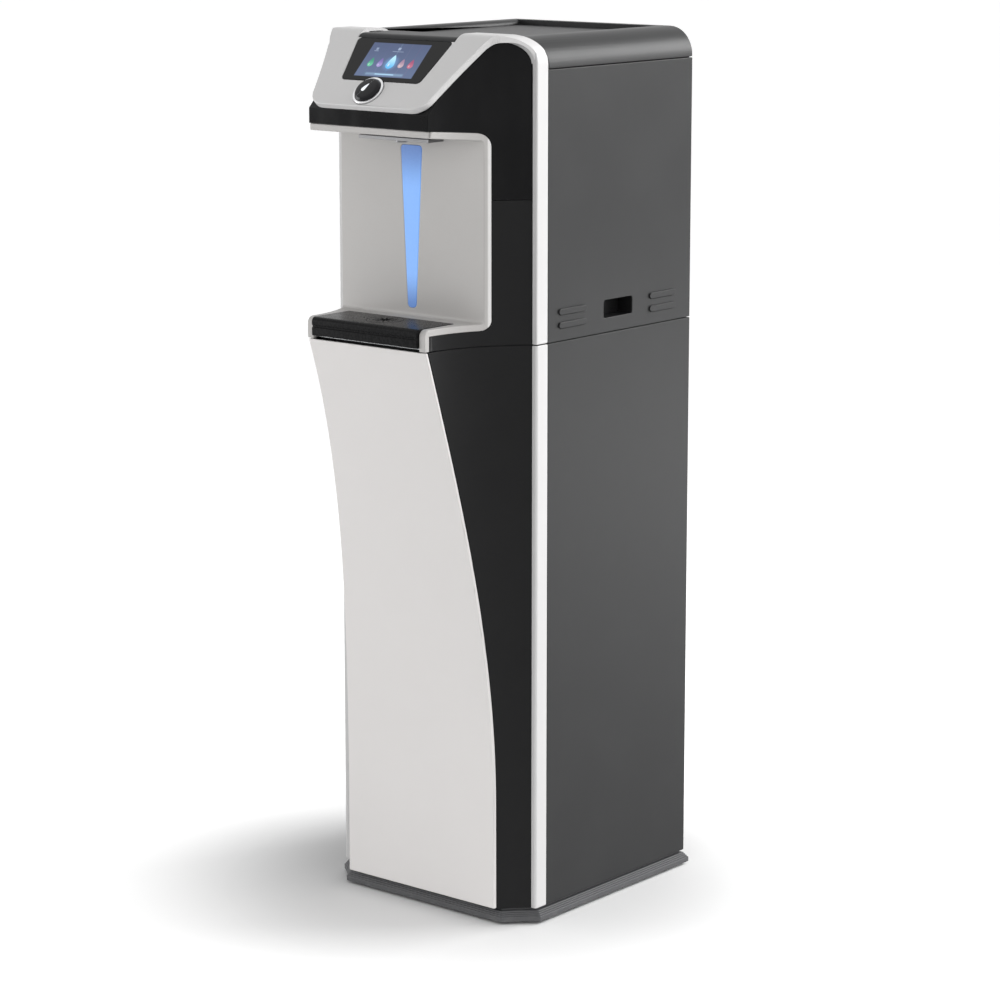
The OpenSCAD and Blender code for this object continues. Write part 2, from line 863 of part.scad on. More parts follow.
module hand_cups() {
    color([0.08, 0.08, 0.08]) both() at_hand() difference() {
        union() {
            translate([0, 0, -sheet - cup_depth]) linear_extrude(cup_depth) hand_outline(2);
            translate([0, 0, -sheet - 2]) linear_extrude(2) hand_outline(cup_rim);
        }
        translate([0, 0, -sheet - cup_depth + 2]) linear_extrude(cup_depth) hand_outline(0);
    }
}

module upper_rear_panel() {
    color([0.2, 0.2, 0.21]) difference() {
        rear_pan(floor_z, side_top - sheet);
        translate([mains_x, rear_pan_y, mains_z]) cube([mains_w, 20, mains_h], center = true);
        for (x = switch_x) translate([x, rear_pan_y, switch_z])
            cube([rocker_w + 4, 20, rocker_h + 4], center = true);
        translate([line_x, rear_pan_y, line_z]) rotate([90, 0, 0]) cylinder(r = 5, h = 20, center = true);
    }
}

// Front outline of the body's top, inset by t: round shoulders under the ridges
module shoulders(t = 0, top = cover_top) {
    r = arch_r - t;
    polygon(concat(
        [[half - t, 0]], arc([half - arch_r, top - arch_r], r, 0, 90),
        arc([-half + arch_r, top - arch_r], r, 90, 180), [[-half + t, 0]]
    ));
}

// Side outline of the space behind the console's arch, set off by t
module behind_arch(t, z0, z1) {
    difference() {
        translate([fy(side_d - arch_r), z0]) square([y_rear - fy(side_d - arch_r) - t + play, z1 - z0]);
        translate([fy(side_d - arch_r), frame_top - arch_r]) circle(arch_r + t, $fn = arc_fn);
        translate([fy(side_d - arch_r), z0 - 1]) square([arch_r + t, frame_top - arch_r - z0 + 1]);
    }
}

module top_cover() {
    trough = top_gap_w/2 + play;
    floor = cover_top - inlay_drop - inlay_t;
    color([0.2, 0.2, 0.21]) difference() {
        intersection() {
            across() behind_arch(play, cover_z, cover_top);
            along(y_nose, y_rear) shoulders();
        }
        // Hollow
        intersection() {
            across() behind_arch(play + wall, cover_z - 1, cover_top);
            difference() {
                along(y_nose, y_rear - wall) shoulders(wall);
                block([-trough - wall, y_nose, floor - wall], [trough + wall, y_rear, far]);
            }
        }
        // Trough between the rounded ridges, with a ledge for the inlay
        along(y_nose, y_rear - rear_rim) polygon(concat(
            [[-trough, floor], [trough, floor]],
            arc([trough + ridge_r, cover_top - ridge_r], ridge_r, 180, 90, 8),
            [[trough + ridge_r, far], [-trough - ridge_r, far]],
            arc([-trough - ridge_r, cover_top - ridge_r], ridge_r, 90, 0, 8)
        ));
        block([-trough + ledge_w, y_nose, cover_z - 1], [trough - ledge_w, y_rear - rear_rim - ledge_w, far]);
    }
    // Locating skirt on the side panels' folds
    color([0.2, 0.2, 0.21]) both() block([half - 2*wall, fy(side_d + wall), side_top],
        [half - wall + eps, y_rear - wall, cover_z + 8]);
}

// Plan outline of the gap of width w that the inlay closes, inset by t, from depth d0 back
module gap_plan(w, t, d0) {
    translate([-w/2 + t, fy(d0)]) square([w - 2*t, y_rear - fy(d0)]);
}

module top_inlay() {
    d0 = (glass_s + glass_h)*cos(console_tilt) + play;
    bend = (cover_top - console_z)/tan_tilt;
    zt = cover_top - inlay_drop;
    ramp0 = side_d - 16;
    ramp1 = side_d + 14;
    end = body_d - rear_rim - play;
    t = inlay_t;
    color([0.07, 0.07, 0.07]) intersection() {
        across() polygon([for (p = rounded([
            [[d0, console_z + d0*tan_tilt], 0], [[bend, cover_top], 14], [[ramp0, cover_top], 0],
            [[ramp1, zt], 0], [[end, zt], 0], [[end, zt - t], 0], [[ramp1, zt - t], 0],
            [[ramp0, cover_top - t], 0], [[bend + t*tan(console_tilt/2), cover_top - t], 14 - t],
            [[d0 + t*sin(console_tilt), console_z + d0*tan_tilt - t*cos(console_tilt)], 0]
        ])) [fy(p[0]), p[1]]]);
        union() {
            prism(0, far) gap_plan(neck_w, play, d0);
            intersection() {
                prism(0, far) gap_plan(top_gap_w, play, side_d - arch_r);
                across() behind_arch(play, cover_z, cover_top);
            }
        }
    }
}

// Side outline of the console frame and its arch, as (d, z); a insets it from above, b from below
function over_path(a) = [
    [[a*sin(console_tilt), console_z - a*cos(console_tilt)], 0],
    [[bend_d + a*tan(console_tilt/2), frame_top - a], bend_r - a],
    [[side_d - a, frame_top - a], arch_r - a], [[side_d - a, upper_z], 0]
];

function under_path(b) = let (a = console_t - b) [
    [[trim_d + b, upper_z], 0], [[trim_d + b, frame_top - a], arch_r - console_t + b],
    [[bend_d + a*tan(console_tilt/2), frame_top - a], bend_r - a],
    [[a*sin(console_tilt), console_z - a*cos(console_tilt)], 0]
];

function frame_path(a, b) = rounded(concat(over_path(a), under_path(b)));

module frame_outline(a, b) {
    polygon([for (p = frame_path(a, b)) [fy(p[0]), p[1]]]);
}

// Centre of the console's concave side edge, as (x, d): it runs from the nose to the trim
wing_p = [nose_w/2 - 4, head_front];
wing_q = [half - trim_r, trim_d];
wing_c = (wing_p + wing_q)/2 + unit([wing_q[1] - wing_p[1], wing_p[0] - wing_q[0]])
    *sqrt(wing_r*wing_r - (wing_q - wing_p)*(wing_q - wing_p)/4);
function wing_x(d) = wing_c[0] - sqrt(wing_r*wing_r - (d - wing_c[1])*(d - wing_c[1]));

// Plan outline of the console, inset by t
module wing_plan(t) {
    difference() {
        translate([-half + t, y_nose - 1]) square([body_w - 2*t, body_d + 1]);
        for (s = [-1, 1]) difference() {
            translate([s*wing_c[0], fy(wing_c[1])]) circle(wing_r + t, $fn = big_fn);
            translate([-far, fy(trim_d)]) square(2*far);
        }
    }
}

// The console's space between its side edges, which stand square to its face: on the slope, round
// the bend in wedges, and on the flat top
module wing_solid() {
    n = 6;
    turn = bend_r*tan(console_tilt/2);
    s0 = (frame_top - console_z)/sin(console_tilt) - turn;
    c = [bend_d + turn, frame_top - bend_r];
    function w(d) = wing_x(d);
    on_console(0, -bend_r + 2) linear_extrude(2*bend_r) polygon(concat(
        [for (i = [0:20]) let (s = -1 + (s0 + 1)*i/20) [w(s*cos(console_tilt)), s]],
        [for (i = [20:-1:0]) let (s = -1 + (s0 + 1)*i/20) [-w(s*cos(console_tilt)), s]]
    ));
    for (i = [0:n - 1]) {
        a = console_tilt*(1 - i/n);
        b = console_tilt*(1 - (i + 1)/n);
        p = c + bend_r*[-sin(a), cos(a)];
        q = c + bend_r*[-sin(b), cos(b)];
        intersection() {
            across() polygon([for (e = [c, c + 3*(p - c), c + 3*(q - c)]) [fy(e[0]), e[1]]]);
            translate([0, fy(p[0]), p[1]]) rotate([(a + b)/2, 0, 0])
                translate([0, 0, -bend_r]) linear_extrude(2*bend_r) polygon([
                    [-w(p[0]), 0], [w(p[0]), 0], [w(q[0]), norm(q - p)], [-w(q[0]), norm(q - p)]
                ]);
        }
    }
    intersection() {
        prism(upper_z, far) wing_plan(0);
        block([-far, fy(c[0]), upper_z - 1], [far, y_rear, far]);
    }
}

// What is cut from the console's lower right corner, drawn on its own plane
module console_corner_cut() {
    r = console_corner;
    c = cos(console_tilt);
    lean = atan((wing_x(r*c) - wing_x(r*c/2))/(r/2));
    s1 = r*(1 - sin(lean));
    x0 = wing_x(s1*c) - r*cos(lean);
    polygon(concat(arc([x0, r], r, -90, -lean, 16), [[x0 + 3*r, s1], [x0 + 3*r, -r], [x0, -r]]));
}

module console_frame() {
    inner = half - trim_t;
    leg_top = frame_top - arch_r;
    color([0.8, 0.8, 0.8]) {
        difference() {
            intersection() {
                across() frame_outline(0, 0);
                wing_solid();
                along(y_nose, y_rear) shoulders(0, frame_top);
            }
            // Hollow of the arch, open to the middle
            intersection() {
                across() frame_outline(frame_skin, frame_under);
                prism(upper_z - 1, far) wing_plan(frame_skin);
                along(y_nose, y_rear) shoulders(frame_skin, frame_top);
                block([-far, fy(bend_d + 14), upper_z - 1], [far, y_rear, far]);
            }
            // The trims are angle sections, so nothing crosses behind the cheeks
            block([-trim_x, fy(trim_d) - 1, 0], [trim_x, y_rear, leg_top]);
            block([-inner, fy(trim_d + trim_t), 0], [inner, y_rear, leg_top]);
            prism(0, far) gap_plan(neck_w, 0, (glass_s + glass_h)*cos(console_tilt));
            on_console(0, -glass_t - 0.3) prism(0, 20) glass_outline(0.3);
            on_console(glass_s + glass_h/2, 0) cube([lcd_w + 6, lcd_h + 6, 60], center = true);
            at_button() cylinder(r = cup_r + play, h = 60, center = true);
            at_button() translate([0, 0, -1.6]) cylinder(r = ring_r + 0.3, h = 10);
            both() on_console(0, -30) linear_extrude(60) console_corner_cut();
        }
    }
}

module upper_cheek(side) {
    z1 = gloss_z - 0.4;
    color([0.1, 0.1, 0.1]) on_side(side) difference() {
        union() {
            prism(upper_z, z1) cheek_wall();
            prism(upper_z, upper_z + sheet) cheek_wall(12);
        }
        across() niche_space(0.2);
    }
}

gloss_z = upper_z + 212;

module upper_cheek_left() upper_cheek(-1);
module upper_cheek_right() upper_cheek(1);

// Side outline of the liner's rim: a from the body's side, b from the niche's side
function liner_path(a, b) =
    let (t = rim_t, zs = shelf_z - t + a, dn = niche_out_d - a, front = t - a,
        rise = head_slope*(dn - front)/niche_d)
    rounded([
        [[front, upper_z], 0], [[front, zs], 0], [[dn, zs], 15 - a], [[dn, head_z - a - rise], 20 - a],
        [[front, head_z - a], 0], [[front, head_z - t + b], 0],
        [[niche_d + b, head_z - t + b - rise], wall_fillet + b], [[niche_d + b, shelf_z - b], wall_fillet + b],
        [[b, shelf_z - b], 10 - b], [[b, upper_z], 0]
    ]);

module liner_outline(a, b) {
    polygon([for (p = liner_path(a, b)) [fy(p[0]), p[1]]]);
}

// Side outline of the niche with its rim, set off by t: what the cheeks leave open
module niche_space(t) {
    p = liner_path(-t, 0);
    far_front = -far;
    polygon([for (q = concat(
        [[far_front, upper_z - 1], [rim_t + t, upper_z - 1]],
        [for (i = [1:len(p) - 1]) if (p[i][0] > rim_t + t - eps && i < liner_turn(p)) p[i]],
        [[rim_t + t, head_z + t], [far_front, head_z + t]]
    )) [fy(q[0]), q[1]]]);
}

// Index of the liner path's front upper corner
function liner_turn(p) = [for (i = [2:len(p) - 1]) if (p[i][1] > head_z - 1) i][0];

module niche_liner() {
    tray_bay = tray_w/2 + play;
    color([0.78, 0.78, 0.77]) difference() {
        intersection() {
            across() liner_outline(0, 0);
            prism(upper_z, head_z + 1) plan(0);
        }
        // Hollow back, so that the wall is a skin with a rim
        intersection() {
            across() liner_outline(-1, wall);
            prism(shelf_z - rim_t - 5, head_z + 5) plan(9, 14);
        }
        block([-tray_bay, y_nose - 10, upper_z - 1], [tray_bay, fy(tray_back + play), shelf_z + 1]);
        along(fy(niche_d - 5), fy(niche_d + 20)) lens_outline(0.3);
        translate([0, fy(nozzle_d), head_z - 40]) cylinder(r = nozzle_r + play, h = 60);
    }
}

// Front outline of the tapered light lens
module lens_outline(t) {
    z0 = shelf_z + 12;
    w0 = lens_w_low/2 + t;
    w1 = lens_w_top/2 + t;
    polygon(rounded([
        [[-w0, z0 - t], w0*0.8], [[w0, z0 - t], w0*0.8], [[w1, z0 + lens_h + t], 5],
        [[-w1, z0 + lens_h + t], 5]
    ]));
}

module light_lens() {
    color([0.45, 0.65, 0.95]) along(fy(niche_d - 0.4), fy(niche_d + wall)) lens_outline(0);
}

module light_board() {
    color([0.1, 0.4, 0.2]) along(fy(niche_d + wall), fy(niche_d + wall + 1.6))
        translate([-lens_w_top/2, shelf_z + 14]) square([lens_w_top, lens_h - 4]);
}

// Gloss black: the upper part of both cheeks, joined by the head's front and the roof of the nose
module head_shell() {
    color([0.04, 0.04, 0.04]) difference() {
        union() {
            both() prism(gloss_z, frame_top - 2) cheek_wall();
            block([-nose_w/2, fy(head_front), head_z], [nose_w/2, fy(head_front + wall), console_z + 20]);
            // Roof under the console, open behind the display and the button
            difference() {
                intersection() {
                    across() difference() {
                        under_outline(-0.3);
                        under_outline(-0.3 - wall);
                    }
                    prism(head_z + 1, far) plan(1);
                    block([-nose_w, y_nose, head_z], [nose_w, fy(trim_d - 20), far]);
                }
                on_console(7, -30) prism(0, 60) translate([-75, 0]) square([150, glass_s + glass_h - 7]);
            }
        }
        across() niche_space(0.2);
        across() frame_solid_outline();
        at_button() translate([0, 0, -cup_bottom - 1]) cylinder(r = cup_r + play, h = cup_bottom + 2);
        block([-far, y_nose - 1, 0], [far, fy(head_front), far]);
    }
}

// Side outline of the space under the console frame, down to the niche
module under_outline(b) {
    a = console_t - b;
    polygon([for (q = rounded(concat(under_path(b), [[[a*sin(console_tilt), upper_z], 0]])))
        [fy(q[0]), q[1]]]);
}

// All that lies above or in front of the console frame's underside
module frame_solid_outline() {
    difference() {
        translate([y_nose - far, console_z - console_t]) square(2*far);
        under_outline(-0.3);
    }
}

module nozzle_plate() {
    back = niche_d - wall_fillet - 1;
    z1 = ceiling(back) - 0.1;
    boss_top = ceiling(nozzle_d + 5) - 0.05;
    color([0.82, 0.82, 0.82]) difference() {
        union() {
            block([-nozzle_plate_w/2, fy(back - nozzle_plate_d), z1 - nozzle_plate_t],
                [nozzle_plate_w/2, fy(back), z1]);
            for (s = [-1, 1]) translate([s*(nozzle_plate_w/2 - 18), fy(nozzle_d), z1 - 1])
                cylinder(r = 5, h = boss_top - z1 + 1);
        }
        translate([0, fy(nozzle_d), z1 - 20]) cylinder(r = nozzle_r + 0.2, h = 40);
    }
}

module nozzle() {
    z1 = head_z + 6;
    color([0.15, 0.15, 0.16]) translate([0, fy(nozzle_d), 0]) difference() {
        union() {
            translate([0, 0, head_z - 26]) cylinder(r = nozzle_r, h = z1 - head_z + 26);
            translate([0, 0, ceiling(nozzle_d - nozzle_r - 5) + wall + 0.1]) cylinder(r = nozzle_r + 5, h = 3);
        }
        translate([0, 0, head_z - 27]) cylinder(r = 3, h = 60);
    }
}

module drip_tray() {
    w = tray_w/2;
    z0 = floor_z + 0.3;
    top = shelf_z + 0.5;
    color([0.08, 0.08, 0.08]) difference() {
        across(tray_w) polygon([for (p = rounded([
            [[-lip_out, z0], 2], [[-lip_out, z0 + 12], 0], [[-lip_out + 1.5, z0 + 13], 0],
            [[-lip_out + 1.5, z0 + 15], 0], [[-lip_out, z0 + 16], 0], [[-lip_out, top], 7],
            [[tray_back, top], 2], [[tray_back, z0], 2]
        ])) [fy(p[0]), p[1]]]);
        // Basin under the flat top
        block([-w + wall, fy(lip_out + wall), z0 + 2.5], [w - wall, fy(tray_back - wall), top - 3]);
        translate([0, fy(tray_back*0.55), top - 10]) cylinder(r = drain_d/2 - 3, h = 20);
        translate([0, fy(tray_back*0.55), top - 2]) cylinder(r = drain_d/2 + 0.3, h = 20);
    }
}

module drain_insert() {
    top = shelf_z + 0.5;
    color([0.06, 0.06, 0.06]) translate([0, fy(tray_back*0.55), top - 2]) difference() {
        union() {
            cylinder(r = drain_d/2, h = 2);
            translate([0, 0, -3]) difference() {
                cylinder(r = drain_d/2 - 3.4, h = 3.5);
                translate([0, 0, -1]) cylinder(r = drain_d/2 - 5.4, h = 6);
            }
        }
        for (a = [0:30:150]) rotate([0, 0, a]) cube([drain_d - 16, 2.4, 20], center = true);
    }
}

module glass_outline(t) {
    w0 = glass_w_low/2 + t;
    w1 = glass_w_top/2 + t;
    translate([0, glass_s]) polygon(rounded([
        [[-w0, -t], 8], [[w0, -t], 8], [[w1, glass_h + t], 6], [[-w1, glass_h + t], 6]
    ]));
}

module display_glass() {
    color([0.03, 0.03, 0.035]) difference() {
        on_console(0, -glass_t - 0.3) linear_extrude(glass_t) glass_outline(0);
        at_button() cylinder(r = cup_r + play, h = 20, center = true);
    }
}

module lcd_module() {
    color([0.3, 0.4, 0.6]) on_console(glass_s + glass_h/2, -glass_t - 0.3 - lcd_t/2)
        cube([lcd_w, lcd_h, lcd_t], center = true);
}

module dispense_button() {
    edge = 5;
    color([0.05, 0.05, 0.06]) at_button() {
        rotate_extrude() polygon(rounded([
            [[0, button_out], 0], [[button_d/2, button_out - 1.5], edge], [[button_d/2, -cup_bottom + 6], 0],
            [[stem_r, -cup_bottom + 6], 0], [[stem_r, -cup_bottom - 6], 0], [[0, -cup_bottom - 6], 0]
        ]));
    }
}

module button_ring() {
    color([0.85, 0.85, 0.86]) difference() {
        union() {
            difference() {
                at_button() translate([0, 0, -1.3]) cylinder(r = ring_r, h = 3.3);
                on_console(0, -glass_t - 1) linear_extrude(glass_t + 1) glass_outline(0.3);
            }
            at_button() translate([0, 0, -cup_bottom]) cylinder(r = cup_r, h = cup_bottom + 1);
        }
        at_button() translate([0, 0, -cup_bottom + 3]) cylinder(r = cup_in_r, h = 60);
        at_button() translate([0, 0, -cup_bottom - 1]) cylinder(r = stem_r + fit, h = 10);
    }
}

module control_board() {
    y0 = fy(niche_d + wall);
    z0 = upper_z + 130;
    color([0.1, 0.35, 0.2]) {
        block([-60, y0 + 10, z0], [60, y0 + 11.6, z0 + 150]);
        for (x = [-52, 52], z = [z0 + 8, z0 + 142]) translate([x, y0 + 10 + eps, z])
            rotate([90, 0, 0]) cylinder(r = 3, h = 10 + eps);
    }
}

module power_supply() {
    color([0.6, 0.6, 0.62]) block([-half + supply_side, rear_pan_y - supply_l, cond_z],
        [-half + supply_side + supply_w, rear_pan_y, cond_z + supply_h]);
}

module cold_tank() {
    color([0.75, 0.76, 0.78]) translate([cold_p[0], cold_p[1], cold_z]) {
        rotate_extrude() polygon(rounded([
            [[0, 0.3], 0], [[cold_r - 0.3, 0.3], 12], [[cold_r - 0.3, cold_h - 0.3], 12], [[0, cold_h - 0.3], 0]
        ]));
        for (s = [-1, 1]) translate([s*cold_stub, 0, cold_h - 5])
            cylinder(r = tube_r, h = stub_top - cold_z - cold_h + 5);
    }
}

cold_stub = 30;

module foam_jacket() {
    color([0.9, 0.9, 0.86]) translate([cold_p[0], cold_p[1], 0]) difference() {
        translate([0, 0, floor_z]) cylinder(r = foam_r, h = foam_top - floor_z, $fn = arc_fn);
        translate([0, 0, cold_z]) cylinder(r = cold_r, h = cold_h, $fn = arc_fn);
        for (s = [-1, 1]) translate([s*cold_stub, 0, cold_z]) cylinder(r = tube_r + 0.3, h = far);
    }
}

module hot_tank() {
    color([0.7, 0.71, 0.73]) translate([hot_p[0], hot_p[1], 0]) {
        translate([0, 0, hot_z]) rotate_extrude() polygon(rounded([
            [[0, 0], 0], [[hot_r, 0], 14], [[hot_r, hot_h], 14], [[0, hot_h], 0]
        ]));
        for (a = [30, 150, 270]) rotate([0, 0, a]) translate([hot_r - 20, -6, floor_z])
            cube([4, 12, hot_z - floor_z + 4]);
        // Heater flange on top
        translate([0, 0, hot_z + hot_h - 2]) cylinder(r = 24, h = 10);
        for (s = [-1, 1]) translate([8*s, 0, hot_z + hot_h]) cylinder(r = 3, h = 20);
        translate([0, hot_r - 4, hot_port_z]) rotate([-90, 0, 0]) cylinder(r = 6, h = 12);
    }
}

module compressor() {
    color([0.08, 0.08, 0.08]) translate([comp_p[0], comp_p[1], comp_z]) {
        rotate_extrude() polygon(rounded([
            [[0, 0], 0], [[comp_r, 0], 16], [[comp_r, comp_h], comp_r - 26], [[0, comp_h], 0]
        ]));
        difference() {
            translate([-comp_r - comp_lug, -38, 0]) cube([2*(comp_r + comp_lug), 76, 3]);
            comp_bolts() cylinder(r = 5.2, h = 20, center = true);
        }
        // Discharge stub towards the rear
        translate([0, comp_r - 3, line_z - comp_z]) rotate([-90, 0, 0]) cylinder(r = 4.5, h = 9);
    }
}

module comp_bolts() {
    for (x = [-1, 1], y = [-1, 1]) translate([x*(comp_r + 3), y*28, 0]) children();
}

module compressor_grommets() {
    color([0.05, 0.05, 0.05]) translate([comp_p[0], comp_p[1], 0]) comp_bolts() {
        translate([0, 0, floor_z]) cylinder(r = 8, h = comp_z - floor_z);
        translate([0, 0, floor_z]) cylinder(r = 5, h = comp_z - floor_z + 6);
        translate([0, 0, comp_z + 3]) cylinder(r = 7, h = 4);
    }
}

// Serpentine tube with wires on both sides, and clips to the rear panel
module condenser() {
    top = cond_z + (cond_runs - 1)*cond_pitch;
    r = cond_pitch/2;
    wires = floor(2*(cond_half - 8)/wire_pitch);
    color([0.1, 0.1, 0.1]) {
        for (i = [0:cond_runs - 1]) translate([-cond_half, cond_y, cond_z + i*cond_pitch])
            rotate([0, 90, 0]) cylinder(r = cond_tube_r, h = 2*cond_half, $fn = 24);
        for (i = [0:cond_runs - 2]) translate([(i % 2 == 0 ? 1 : -1)*cond_half, cond_y, cond_z + (i + 0.5)*cond_pitch])
            rotate([90, 0, 0]) rotate([0, 0, i % 2 == 0 ? -90 : 90])
                rotate_extrude(angle = 180, $fn = 48) translate([r, 0]) circle(cond_tube_r, $fn = 24);
        for (i = [0:wires], s = [-1, 1])
            translate([(i - wires/2)*wire_pitch, cond_y + s*(cond_tube_r + cond_wire_r + 0.05), cond_z - 8])
                cylinder(r = cond_wire_r, h = top - cond_z + 16, $fn = 16);
        for (x = [-1, 1], z = [cond_z + cond_pitch, top - cond_pitch])
            block([x*(wires/2 - 1.5)*wire_pitch - 4, rear_pan_y + sheet, z - 4],
                [x*(wires/2 - 1.5)*wire_pitch + 4, cond_y - cond_tube_r - 0.05, z + 4]);
    }
}

module discharge_tube() {
    color([0.72, 0.45, 0.2]) pipe([
        [line_x, comp_p[1] + comp_r + 6, line_z], [line_x, cond_y, line_z],
        [line_x, cond_y, cond_z - cond_tube_r - 0.1]
    ], r = 3, bend = 8);
}

module valve_block() {
    color([0.82, 0.82, 0.8]) translate([valve_p[0], valve_p[1], floor_z]) difference() {
        union() {
            for (s = [-1, 1]) translate([s*(valve_w/2 - 5) - 5, -valve_l/2, 0]) cube([10, valve_l, 9]);
            translate([-valve_w/2, -valve_l/2, 8]) cube([valve_w, valve_l, valve_h]);
            for (i = [-1, 0, 1]) translate([i*32, 6, 7 + valve_h]) {
                cylinder(r = 9, h = 14);
                translate([-12, -12, 10]) cube([24, 24, 26]);
            }
            translate([-cold_stub, -valve_l/2 + 7, 7 + valve_h]) cylinder(r = 6, h = 6);
        }
        translate([0, 0, -1]) cylinder(r = 2.5, h = 20);
    }
}

// Tubes from the valve block to both tanks, and from the cold tank to the nozzle
module water_tubes() {
    cold_feed_tube();
    dispense_tube();
    hot_feed_tube();
}

module hot_feed_tube() {
    x = valve_p[0] + cold_stub;
    y = valve_p[1] - valve_l/2;
    z = floor_z + 8 + valve_h/2;
    color([0.8, 0.3, 0.25]) pipe([
        [x, y, z], [x, lane_y, z], [hot_p[0], lane_y, z], [hot_p[0], lane_y, hot_port_z],
        [hot_p[0], hot_p[1] + hot_r + hot_port, hot_port_z]
    ], bend = 10);
}

module cold_feed_tube() {
    x = cold_p[0] - cold_stub;
    y = valve_p[1] - valve_l/2 - 8;
    z = floor_z + 8 + valve_h/2;
    color([0.3, 0.5, 0.85]) pipe([
        [x, valve_p[1] - valve_l/2, z], [x, y - 4, z], [x, y - 4, top_run_z], [x, cold_p[1], top_run_z],
        [x, cold_p[1], stub_top]
    ], bend = 10);
}

module dispense_tube() {
    x = cold_p[0] + cold_stub;
    color([0.3, 0.5, 0.85]) pipe([
        [x, cold_p[1], stub_top], [x, cold_p[1], top_run_z], [x, fy(nozzle_d), top_run_z],
        [0, fy(nozzle_d), top_run_z], [0, fy(nozzle_d), head_z + 6]
    ], bend = 10);
}

// The socket and the housings of the two switches beside it
module mains_inlet() {
    color([0.06, 0.06, 0.06]) translate([mains_x, rear_pan_y, mains_z]) difference() {
        union() {
            block([-mains_w/2 + 0.5, -24, -mains_h/2 + 0.5], [mains_w/2 - 0.5, sheet + 1, mains_h/2 - 0.5]);
            block([-mains_w/2 - 5, sheet, -mains_h/2 - 4], [mains_w/2 + 5, sheet + 3, mains_h/2 + 4]);
        }
        block([-mains_w/2 + 12, -14, -mains_h/2 + 5], [mains_w/2 - 12, 20, mains_h/2 - 5]);
    }
    color([0.06, 0.06, 0.06]) for (x = switch_x) translate([x, rear_pan_y, switch_z]) difference() {
        union() {
            block([-rocker_w/2 - 1.9, -14, -rocker_h/2 - 1.9], [rocker_w/2 + 1.9, sheet + 1, rocker_h/2 + 1.9]);
            block([-rocker_w/2 - 4, sheet, -rocker_h/2 - 4], [rocker_w/2 + 4, sheet + 2, rocker_h/2 + 4]);
        }
        block([-rocker_w/2 - 0.4, -12, -rocker_h/2 - 0.4], [rocker_w/2 + 0.4, 20, rocker_h/2 + 0.4]);
        rotate([0, 90, 0]) cylinder(r = rocker_hole_r, h = rocker_w + 2.8, center = true);
    }
}

module rocker(x) {
    translate([x, rear_pan_y, switch_z]) {
        rotate([90, 0, 90]) linear_extrude(rocker_w - 0.6, center = true) polygon(rounded([
            [[-3, -4], 1], [[sheet + 3, -rocker_h/2 + 1], 1.2], [[sheet + 2.2, 0], 0],
            [[sheet + 4.6, rocker_h/2 - 1], 1.2], [[-3, 4], 1]
        ]));
        rotate([0, 90, 0]) cylinder(r = rocker_pin_r, h = rocker_w + 2.4, center = true);
    }
}

module hot_switch() {
    color([0.8, 0.1, 0.08]) rocker(switch_x[0]);
}

module cold_switch() {
    color([0.1, 0.5, 0.2]) rocker(switch_x[1]);
}

base_plinth();
foot_front_left();
foot_front_right();
foot_rear_left();
foot_rear_right();
cabinet_frame();
lower_side_panel_left();
lower_side_panel_right();
lower_rear_panel();
lower_cheek_left();
lower_cheek_right();
lower_trim_left();
lower_trim_right();
front_panel();
panel_catches();
deck_plate();
filter_bracket();
filter_head();
filter_cartridge_left();
filter_cartridge_right();
inlet_fitting();
pressure_regulator();
supply_tube();
filtered_tube();
chassis_base();
upper_side_panel_left();
upper_side_panel_right();
hand_cups();
upper_rear_panel();
top_cover();
top_inlay();
console_frame();
upper_cheek_left();
upper_cheek_right();
head_shell();
niche_liner();
light_lens();
light_board();
nozzle_plate();
nozzle();
drip_tray();
drain_insert();
display_glass();
lcd_module();
dispense_button();
button_ring();
control_board();
power_supply();
cold_tank();
foam_jacket();
hot_tank();
compressor();
compressor_grommets();
condenser();
discharge_tube();
valve_block();
water_tubes();
mains_inlet();
hot_switch();
cold_switch();
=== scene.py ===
import json
import math

import bmesh
import bpy
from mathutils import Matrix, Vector


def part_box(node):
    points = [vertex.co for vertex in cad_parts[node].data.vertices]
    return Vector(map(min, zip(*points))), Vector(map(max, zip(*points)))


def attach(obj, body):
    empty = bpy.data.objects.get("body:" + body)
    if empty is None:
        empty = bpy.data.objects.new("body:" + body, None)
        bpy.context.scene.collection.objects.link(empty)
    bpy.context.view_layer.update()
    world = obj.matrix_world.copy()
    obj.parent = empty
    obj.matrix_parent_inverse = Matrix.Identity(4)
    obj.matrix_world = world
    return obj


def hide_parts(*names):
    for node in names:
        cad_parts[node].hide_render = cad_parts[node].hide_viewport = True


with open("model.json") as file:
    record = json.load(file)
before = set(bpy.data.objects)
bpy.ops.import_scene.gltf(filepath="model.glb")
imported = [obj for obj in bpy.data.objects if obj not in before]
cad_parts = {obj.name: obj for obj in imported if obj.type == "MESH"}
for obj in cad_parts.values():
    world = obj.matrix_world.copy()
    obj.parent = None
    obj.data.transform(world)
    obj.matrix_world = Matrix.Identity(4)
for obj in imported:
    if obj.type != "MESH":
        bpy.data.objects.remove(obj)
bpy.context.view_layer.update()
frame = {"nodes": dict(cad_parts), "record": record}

# Tools for finishes and smooth copies


